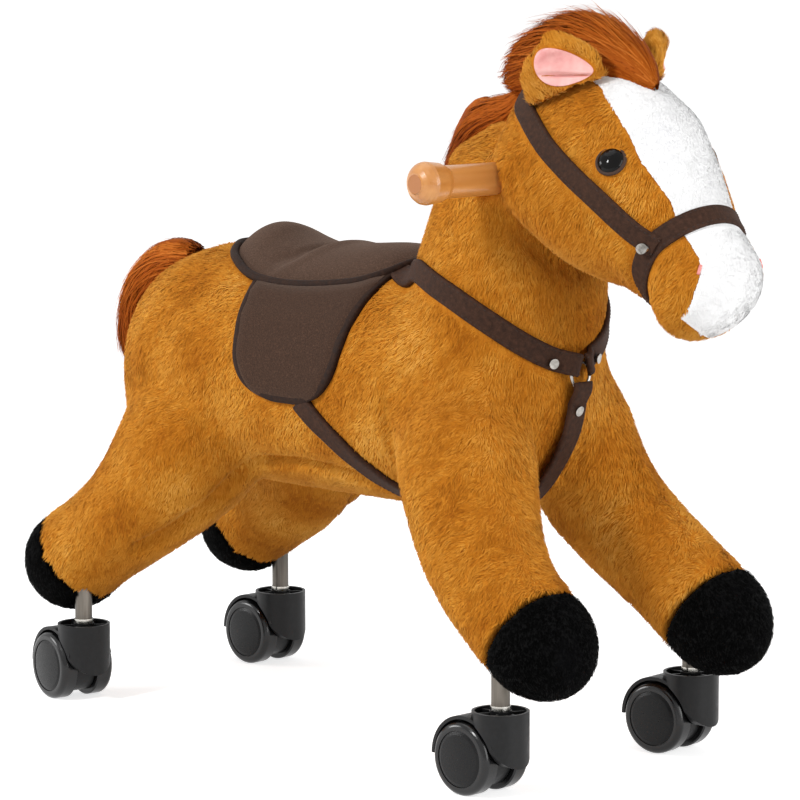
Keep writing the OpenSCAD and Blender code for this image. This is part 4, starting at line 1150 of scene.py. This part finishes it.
def flap_binding(name, path, outs, side):
    """A folded band round a flap's edge, with its stitches inside it."""
    path, outs = eased(path, False, 3), unit(eased(outs, False, 4))
    path, outs = respaced(path, outs, PATH_STEP, False)
    half = BINDING_WIDTH / 2
    middle = -side * (half - 1.2 * MM)
    section = [(-half, -3.0 * MM), (-half, 0.4 * MM), (-0.8 * half, 1.1 * MM), (0, 1.4 * MM),
               (0.8 * half, 1.1 * MM), (half, 0.4 * MM), (half, -3.0 * MM)]
    section = [(s + middle, h) for s, h in reversed(section)]
    points, tris = sweep(path, outs, section, False)
    add_piece(name, points, tris, [LOOKS["piping"]])
    stitch_row(path, outs, False, -side * (BINDING_WIDTH + 1.6 * MM), 0.5 * MM, "flap", length=3.4 * MM,
               pitch=6 * MM, half=0.6 * MM)
    COVERS.append((points, tris))


for name, side, node in (("right_flap", -1, "saddle_flap_right"), ("left_flap", 1, "saddle_flap_left")):
    piece, cut = flap_piece(name, side, node)

stitch_piece("strap", LOOKS["thread"])
stitch_piece("flap", LOOKS["thread"])


# Pile
def waves(count, length):
    """Directions and phases of smooth noise with about this wave length."""
    ways = unit(rng.normal(size=(count, 3)))
    speed = 2 * math.pi / (length * rng.uniform(0.7, 1.4, count))
    return ways * speed[:, None], rng.uniform(0, 2 * math.pi, count)


def wave_noise(places, noise):
    ways, phase = noise
    return np.sin(places @ ways.T + phase).sum(axis=1) / math.sqrt(len(phase) / 2)


def pick_roots(points, tris, count):
    """Places spread evenly over a skin, with the skin's way out at each."""
    normals = point_normals(points, tris)
    a, b, c = (points[tris[:, k]] for k in range(3))
    area = np.linalg.norm(np.cross(b - a, c - a), axis=1)
    pick = rng.choice(len(tris), count, p=area / area.sum())
    u = np.sqrt(rng.random(count))[:, None]
    v = rng.random(count)[:, None]
    corners = tris[pick]
    share = (1 - u, u * (1 - v), u * v)
    places = sum(w * points[corners[:, k]] for k, w in enumerate(share))
    outs = unit(sum(w * normals[corners[:, k]] for k, w in enumerate(share)))
    return places, outs


def pile_piece(name, places, outs, combs, lengths, shades, which, rise):
    """Blades of pile, each of two bends, that lean the way they are combed."""
    comb = unit(combs - np.sum(combs * outs, axis=1, keepdims=True) * outs)
    angle = rise + rng.normal(0, 0.1, len(places))
    first = comb * np.cos(angle)[:, None] + outs * np.sin(angle)[:, None]
    later = unit(comb + outs * rng.uniform(-0.05, 0.3, len(places))[:, None])
    side = unit(np.cross(outs, comb) + outs * rng.normal(0, 0.25, len(places))[:, None])
    half = BLADE / 2 * rng.uniform(0.7, 1.2, len(places))[:, None]
    size = lengths[:, None]
    root = places - outs * 0.4 * MM
    bend = root + first * size * 0.5
    tip = bend + later * size * 0.5
    corners = [root - side * half, root + side * half, bend + side * half * 0.85, bend - side * half * 0.85,
               tip]
    points = np.stack(corners, axis=1).reshape(-1, 3)
    start = np.arange(len(places))[:, None, None] * 5
    tris = (np.array([(0, 2, 1), (0, 3, 2), (3, 4, 2)])[None] + start).reshape(-1, 3)
    flat = unit(np.cross(side, first))
    flat = flat * np.sign(np.sum(flat * outs, axis=1, keepdims=True))
    shown = unit(0.9 * outs + 0.1 * flat)
    add_piece(name, points, tris, shades, np.repeat(which, 3), np.repeat(shown, 5, axis=0))


def shade_index(places, count, spread=0.55):
    """Which shade each blade takes: in patches, with tufts and single blades that differ."""
    value = 0.6 * wave_noise(places, COARSE) + 0.3 * wave_noise(places, FINE)
    value = value + rng.normal(0, 0.34, len(places))
    return np.clip(np.round((count - 1) * (0.5 + 0.5 * spread * value)), 0, count - 1).astype(int)


BLAZE = np.array([(-62, 22), (-37, 31), (-8, 36.5), (19, 36), (50, 28), (88, 27.5), (97, 30), (101, 33),
                  (161, 33)]) * MM


def in_blaze(places, grow=0.0):
    """True where the face is white."""
    local = head_local(places)
    half = np.interp(local[:, 0], BLAZE[:, 0], BLAZE[:, 1]) + grow
    near = (local[:, 0] > BLAZE[0, 0] - grow) & (local[:, 0] < BLAZE[-1, 0]) & (np.abs(local[:, 2]) < 90 * MM)
    chin = -37 * MM + 0.5 * np.abs(local[:, 1]) - grow
    return near & (np.abs(local[:, 1]) < half) & (local[:, 2] > chin)


COVERS += [arrays_of(NODES[node].data) for node in ("eyes", "handlebar")]
COVER_TREES = [(p.min(axis=0), p.max(axis=0), tree_of(p, t)) for p, t in COVERS]


def bared(places, reach):
    """How far each place is from what lies on the plush, up to reach."""
    near = np.full(len(places), reach)
    for low, high, tree in COVER_TREES:
        close = np.all((places > low - reach) & (places < high + reach), axis=1)
        near[close] = np.minimum(near[close], distances(tree, places[close], reach))
    return near


rng = np.random.default_rng(PILE_SEED)
COARSE = waves(14, 60 * MM)
FINE = waves(20, 9 * MM)
SWIRLS = [waves(14, 34 * MM) for _ in range(3)]
TUFTS = [waves(20, 9 * MM) for _ in range(3)]
GOLD_SHADES = strand_shades("plush_pile", GOLD, (0.75, 0.95), 0.05, 0.2, (1.0, 0.66, 0.25, 1))
WHITE_SHADES = strand_shades("white_pile", WHITE_PILE, (0.8, 0.95), 0.05)
BLACK_SHADES = strand_shades("hoof_pile", BLACK_PILE, (0.7, 0.9), 0.03)
HAIR_SHADES = strand_shades("long_pile", AUBURN, (0.55, 0.75), 0.06)


def combed(places, way):
    """The way that the pile lies, with swirls and tufts."""
    swirl = np.stack([wave_noise(places, w) for w in SWIRLS], axis=1)
    tuft = np.stack([wave_noise(places, w) for w in TUFTS], axis=1)
    return np.asarray(way)[None] + 0.16 * swirl + 0.14 * tuft


BODY_BLADES = 400000
BLAZE_BLADES = 56000
HOOF_BLADES = 30000
EAR_BLADES = 22000
BLADE = 0.7 * MM
PILE_LENGTH = 4.8 * MM
BLAZE_LENGTH = 3.0 * MM
HOOF_LENGTH = 3.4 * MM
EAR_LENGTH = 5.4 * MM
# No pile grows nearer than this to what lies on the plush
BARE = 1.2 * MM
places, outs = pick_roots(SKIN, SKIN_TRIS, BODY_BLADES)
room = bared(places, 7 * MM)
open_skin = (room > BARE) & ~in_blaze(places)
places, outs, room = places[open_skin], outs[open_skin], room[open_skin]
lengths = PILE_LENGTH * rng.uniform(0.75, 1.25, len(places)) * np.clip(room / (5 * MM), 0.35, 1)
ways = combed(places, (-0.5, 0, -0.85))
shade = shade_index(places, len(GOLD), 0.48)
# Blades along the panel seam take the darkest gold, which is painted shade in the seam's groove. They are
# also shorter.
seam_blades_painted_dark = line_distance(places, PANEL_SEAM) < 0.5 * PANEL_SEAM_WIDTH
shade[seam_blades_painted_dark] = len(GOLD) - 1
lengths[seam_blades_painted_dark] *= 0.6
# Zones of the body, each with its own piece of pile
x, y, z = places.T
head = (z > 0.335) & (x > 0.11)
neck = ~head & (z > 0.29) & (x > 0.02)
fore = ~head & (x > 0.06) & (z < 0.215)
hind = (x < -0.1) & (z < 0.2)
rump = (x < -0.13) & ~hind
zones = {"head": head, "neck": neck, "front_leg": fore, "rear_leg": hind, "rump": rump,
         "barrel": ~(head | neck | fore | hind | rump)}
for zone, within in zones.items():
    for label, hand in (("right", y < 0), ("left", y >= 0)):
        use = within & hand
        pile_piece(f"pile_{label}_{zone}", places[use], outs[use], ways[use], lengths[use], GOLD_SHADES,
                   shade[use], rise=0.42)


def finer(points, tris):
    """Splits each triangle in four."""
    edges = np.sort(np.concatenate([tris[:, [0, 1]], tris[:, [1, 2]], tris[:, [2, 0]]]), axis=1)
    names, index = np.unique(edges, axis=0, return_inverse=True)
    a, b, c = tris.T
    ab, bc, ca = index.reshape(3, -1) + len(points)
    faces = [np.stack(f, axis=1) for f in ((a, ab, ca), (ab, b, bc), (ca, bc, c), (ab, bc, ca))]
    return np.concatenate([points, points[names].mean(axis=1)]), np.concatenate(faces)


def used_only(points, tris):
    """Drops the points that no triangle uses."""
    names, index = np.unique(tris, return_inverse=True)
    return points[names], index.reshape(-1, 3)


def face_skin():
    """The white part of the skin, in small triangles so that its border runs smoothly."""
    points, tris = used_only(SKIN, SKIN_TRIS[in_blaze(SKIN[SKIN_TRIS].mean(axis=1), 8 * MM)])
    for _ in range(2):
        points, tris = finer(points, tris)
    points = points + point_normals(points, tris) * 0.5 * MM
    return used_only(points, tris[in_blaze(points[tris].mean(axis=1))])


FACE, FACE_TRIS = face_skin()
patch = add_piece("white_face", FACE, FACE_TRIS, [LOOKS["white"]])
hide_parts("face_blaze")
places, outs = pick_roots(FACE, FACE_TRIS, BLAZE_BLADES)
room = bared(places, 6 * MM)
use = room > BARE
places, outs, room = places[use], outs[use], room[use]
lengths = BLAZE_LENGTH * rng.uniform(0.75, 1.2, len(places)) * np.clip(room / (4 * MM), 0.4, 1)
shade = shade_index(places, len(WHITE_PILE), 0.4)
ways = combed(places, (0.6, 0, -0.6))
pile_piece("pile_blaze", places, outs, ways, lengths, WHITE_SHADES, shade, rise=0.28)

for end, (points, tris) in hoof_skins.items():
    places, outs = pick_roots(points, tris, HOOF_BLADES)
    lengths = HOOF_LENGTH * rng.uniform(0.7, 1.2, len(places))
    shade = shade_index(places, len(BLACK_PILE), 0.7)
    ways = combed(places, (0.2, 0, -0.9))
    pile_piece(f"pile_{end}_hooves", places, outs, ways, lengths, BLACK_SHADES, shade, rise=0.6)

places, outs = pick_roots(EARS, EAR_TRIS, EAR_BLADES)
room = np.minimum(*(distances(tree_of(p, t), places, 6 * MM) for p, t in LININGS))
use = room > 1.6 * MM
places, outs, room = places[use], outs[use], room[use]
lengths = EAR_LENGTH * rng.uniform(0.75, 1.2, len(places)) * np.clip(room / (5 * MM), 0.4, 1)
shade = np.maximum(shade_index(places, len(GOLD)) - 1, 0)
ways = combed(places, (-0.3, 0, 0.9))
pile_piece("pile_ears", places, outs, ways, lengths, GOLD_SHADES, shade, rise=0.6)


# Long hair
def spline(stations, t):
    """Places on a smooth line through stations, as the part's source draws it."""
    last = len(stations) - 1
    i = np.clip(np.floor(t).astype(int), 0, last - 1)
    f = (t - i)[:, None]
    p1, p2 = stations[i], stations[i + 1]
    p0 = np.where((i > 0)[:, None], stations[np.maximum(i - 1, 0)], 2 * p1 - p2)
    p3 = np.where((i + 2 <= last)[:, None], stations[np.minimum(i + 2, last)], 2 * p2 - p1)
    bent = 2 * p1 + (p2 - p0) * f + (2 * p0 - 5 * p1 + 4 * p2 - p3) * f ** 2
    return 0.5 * (bent + (3 * p1 - p0 - 3 * p2 + p3) * f ** 3)


def hair_point(stations, t, angle, lift):
    s = spline(stations, t)
    d = unit(spline(stations, t + 0.01)[:, :3] - spline(stations, t - 0.01)[:, :3])
    across = unit(np.array([0, 1, 0]) - d[:, 1:2] * d)
    upward = np.cross(d, across)
    wide, deep = s[:, 3:4] * lift[:, None], s[:, 4:5] * lift[:, None]
    out = across * np.cos(angle)[:, None] * wide + upward * np.sin(angle)[:, None] * deep
    return s[:, :3] + out, unit(out)


def hair_piece(name, stations, count, starts, spans, flare, turn=None, segments=6, width=1.1 * MM):
    """Long strands that follow a form's line from its root to its tip and keep clear of the ears."""
    last = len(stations) - 1
    t0 = rng.uniform(*starts, count)
    span = rng.uniform(*spans, count)
    angle = rng.uniform(0, 2 * math.pi, count)
    lift = rng.uniform(0.25, 1.0, count) ** 0.4
    drift_turn = rng.normal(0, 0.25, count)
    spread = rng.uniform(0, 1, count) ** 2 * flare
    rows, outs = [], []
    for k in range(segments + 1):
        f = k / segments
        t = t0 + span * f
        end = np.clip((last - t) / 0.8, 0, 1)
        begin = np.clip((t + 0.15) / 0.6, 0, 1)
        cap = np.sqrt(1 - (1 - end) ** 2) * np.sqrt(1 - (1 - begin) ** 2)
        swell = lift * np.maximum(cap, 0.12) + spread * f ** 2
        place, out = hair_point(stations, np.minimum(t, last + 0.2), angle + drift_turn * f, swell)
        rows.append(place)
        outs.append(out)
    path = np.stack(rows, axis=1)
    out = np.stack(outs, axis=1)
    if turn is not None:
        path = path @ np.array(turn.to_3x3()).T + np.array(turn.translation)
        out = out @ np.array(turn.to_3x3()).T
    wobble = np.stack([wave_noise(path[:, -1], w) for w in TUFTS], axis=1)
    bend = (np.arange(segments + 1) / segments)[None, :, None] ** 2
    path = path + wobble[:, None] * bend * 1.6 * MM
    clear = distances(EAR_TREE, path[:, -1], 5 * MM) > 4 * MM
    clear &= distances(EAR_TREE, path[:, segments // 2], 5 * MM) > 4 * MM
    path, out, count = path[clear], out[clear], int(clear.sum())
    ahead = np.gradient(path, axis=1)
    side = unit(np.cross(out, ahead))
    taper = np.interp(np.arange(segments + 1) / segments, [0, 0.2, 0.7, 1], [0.7, 1, 0.85, 0.12])
    half = width / 2 * rng.uniform(0.6, 1.2, count)[:, None, None] * taper[None, :, None]
    points = np.stack([path - side * half, path + side * half], axis=2).reshape(-1, 3)
    step = np.arange(segments)[:, None] * 2
    quads = (np.array([[0, 2, 3, 1]]) + step)[None] + np.arange(count)[:, None, None] * 2 * (segments + 1)
    quads = quads.reshape(-1, 4)
    shade = shade_index(path[:, segments // 2], len(AUBURN), 0.6)
    shown = np.repeat(unit(out), 2, axis=1).reshape(-1, 3)
    add_piece(name, points, quads, HAIR_SHADES, np.repeat(shade, segments), shown)


def hair_base(name, node, inset=4 * MM):
    points, tris = plush_skin([load_nodes(node)], shells=1, steps=6, voxel=FINE_VOXEL, inset=inset)
    piece = add_piece(name, points, tris, [LOOKS["hair"]])
    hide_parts(node)


hair_base("forelock_base", "forelock", 7 * MM)
hair_base("mane_base", "mane")
hair_base("tail_base", "tail")
FORELOCK = np.array([(-26, 0, 73, 7, 9), (-52, 0, 68, 18, 22), (-87, 0, 52, 26, 32), (-116, 0, 25, 26, 26),
                     (-138, 0, 0, 13, 12)]) * MM


def crest_station(x, z, half, deep):
    """A station of the mane, seated on the crest of the neck."""
    way = np.array([-1, 0, 1]) / math.sqrt(2)
    place, out = cast(SKIN_TREE, np.array([x, 0, z]) * MM + way * 0.1, -way)
    return (*(place + out * 0.35 * deep * MM), half * MM, deep * MM)


MANE = np.array([crest_station(*s) for s in ((106, 470, 10, 10), (88, 460, 15, 14), (66, 444, 17, 15),
                                             (46, 422, 15, 13), (33, 398, 12, 10), (25, 374, 7, 6))])
TAIL = np.array([(-234, 0, 325, 16, 14), (-264, 0, 319, 22, 19), (-288, 0, 296, 25, 18),
                 (-296, 0, 263, 23, 17), (-297, 0, 226, 12, 9)]) * MM
hair_piece("forelock_strands", FORELOCK, 9000, starts=(-0.1, 2.2), spans=(1.0, 2.4), flare=0.3, turn=HEAD)
hair_piece("tail_strands", TAIL, 8000, starts=(0.0, 2.4), spans=(1.2, 2.4), flare=0.15)
hair_piece("mane_strands", MANE, 7000, starts=(-0.1, 3.4), spans=(1.0, 2.0), flare=0.3)


# Small pieces of the face
def turned(profile, middle, axis, count=40):
    """A turned form about an axis, from pairs of radius and height."""
    axis = Vector(axis).normalized()
    side = axis.orthogonal().normalized()
    other = axis.cross(side)
    rows = []
    for radius, height in profile:
        for k in range(count):
            a = 2 * math.pi * k / count
            rows.append(Vector(middle) + axis * height + (side * math.cos(a) + other * math.sin(a)) * radius)
    quads = []
    n = len(profile)
    for i in range(n):
        j = (i + 1) % n
        for k in range(count):
            m = (k + 1) % count
            quads.append((i * count + k, i * count + m, j * count + m, j * count + k))
    return np.array([tuple(r) for r in rows]), np.array(quads)


EYE_SINK = 2.2 * MM
EYE_RIM_WIRE = 1.3 * MM
NOSTRIL_WIRE = 1.1 * MM
for label, side, nodes in (("right", -1, ["eyes"]), ("left", 1, [])):
    base, look = eye_frame(side)
    base = base - look * EYE_SINK
    points, tris = arrays_of(NODES["eyes"].data)
    points, tris = used_only(points, tris[points[tris][:, :, 1].mean(axis=1) * side > 0])
    piece = add_piece(f"{label}_eye", points - np.array(look) * EYE_SINK, tris, [LOOKS["eye"]])
    if nodes:
        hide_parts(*nodes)
    profile = [(EYE_RADIUS + 0.3 * MM + EYE_RIM_WIRE * math.cos(a), 0.6 * MM + EYE_RIM_WIRE * math.sin(a))
               for a in np.linspace(0, 2 * math.pi, 10, endpoint=False)]
    points, quads = turned(profile, base, look)
    add_piece(f"{label}_eye_rim", points, quads, [LOOKS["eye_rim"]])


for label, side in (("right", -1), ("left", 1)):
    ways = [np.array([36, 31 * side, z - 5]) for z in (11, 13, 15, 17)]
    hits = [head_hit(np.array([60, 0, 5]) * MM + way * 3 * MM, -way) for way in ways]
    path, outs = path_of(hits)
    points, tris = sweep(path + outs * 0.6 * MM, outs, round_section(NOSTRIL_WIRE, 8), False)
    add_piece(f"{label}_nostril", points, tris, [LOOKS["nostril"]])


# CAD pieces that stay get their materials
def dress(node, look):
    mesh = NODES[node].data
    mesh.materials.clear()
    mesh.materials.append(LOOKS[look])


for corner in CORNERS:
    dress(f"{corner}_housing", "nylon")
    dress(f"{corner}_axle", "bright")
    for hand in "rl":
        dress(f"{corner}_wheel_{hand}", "rim")
        dress(f"{corner}_disc_{hand}", "disc")
for node, look in (("front_leg_tubes", "steel"), ("rear_leg_tubes", "steel"), ("frame_spine", "steel"),
                   ("frame_bolts", "bright"), ("frame_nuts", "bright"), ("castor_stems", "bright"),
                   ("strap_ring", "nickel"), ("strap_rivets", "nickel"), ("handlebar", "wood"),
                   ("neck_post", "wood"), ("seat_board", "plywood")):
    dress(node, look)


# Floor, light and camera
def seen_directly(tree, low, high):
    """A strength for rays from the camera, from gloss or through glass, and another for the rest."""
    path = add_node(tree, "LightPath")
    value = path.outputs["Is Camera Ray"]
    for kind in ("Is Glossy Ray", "Is Transmission Ray"):
        either = add_node(tree, "Math", Value=value)
        either.operation = "MAXIMUM"
        tree.links.new(path.outputs[kind], either.inputs[1])
        value = either.outputs["Value"]
    return add_node(tree, "MapRange", To_Min=low, To_Max=high, Value=value).outputs["Result"]


FLOOR_REACH = 40.0


def white_stage():
    mesh = bpy.data.meshes.new("floor")
    corners = [(x * FLOOR_REACH, y * FLOOR_REACH, 0) for x, y in ((-1, -1), (1, -1), (1, 1), (-1, 1))]
    mesh.from_pydata(corners, [], [(0, 1, 2, 3)])
    floor = put("floor", mesh)
    mat, tree, shader = new_material("pale_floor", Base_Color=(0.85, 0.85, 0.85, 1), Roughness=0.9)
    shader.inputs["Emission Color"].default_value = (1, 1, 1, 1)
    tree.links.new(seen_directly(tree, 0.0, 0.68), shader.inputs["Emission Strength"])
    mesh.materials.append(mat)
    world = bpy.data.worlds.new("studio")
    scene.world = world
    world.use_nodes = True
    back = world.node_tree.nodes["Background"]
    back.inputs["Color"].default_value = (1, 1, 1, 1)
    world.node_tree.links.new(seen_directly(world.node_tree, 0.4, 1.0), back.inputs["Strength"])


def aimed(thing, at, aim):
    thing.location = at
    thing.rotation_euler = (Vector(aim) - thing.location).to_track_quat("-Z", "Y").to_euler()


def area_lamp(name, at, aim, size, watts):
    lamp = bpy.data.lights.new(name, "AREA")
    lamp.shape = "DISK"
    lamp.size = size
    lamp.energy = watts
    aimed(put(name, lamp), at, aim)


white_stage()
area_lamp("key", at=(-0.1, -2.5, 2.0), aim=(0, 0, 0.25), size=0.5, watts=46)
area_lamp("side", at=(-2.2, -1.8, 1.0), aim=(0, 0, 0.2), size=0.9, watts=20)
area_lamp("fill", at=(2.4, 0.3, 0.85), aim=(0, 0, 0.25), size=1.8, watts=32)
area_lamp("top", at=(-0.6, -0.4, 2.6), aim=(0, 0, 0.25), size=1.8, watts=8)

camera_data = bpy.data.cameras.new("camera")
camera_data.sensor_width = 36
camera_data.lens = 173.7
camera_data.shift_x = -0.0504
camera_data.shift_y = -0.0124
camera_data.clip_end = 50
scene.camera = put("camera", camera_data)
aimed(scene.camera, at=(1.96670, -1.87380, 0.59788), aim=(0.027, 0, 0.25))
scene.view_settings.view_transform = "Standard"
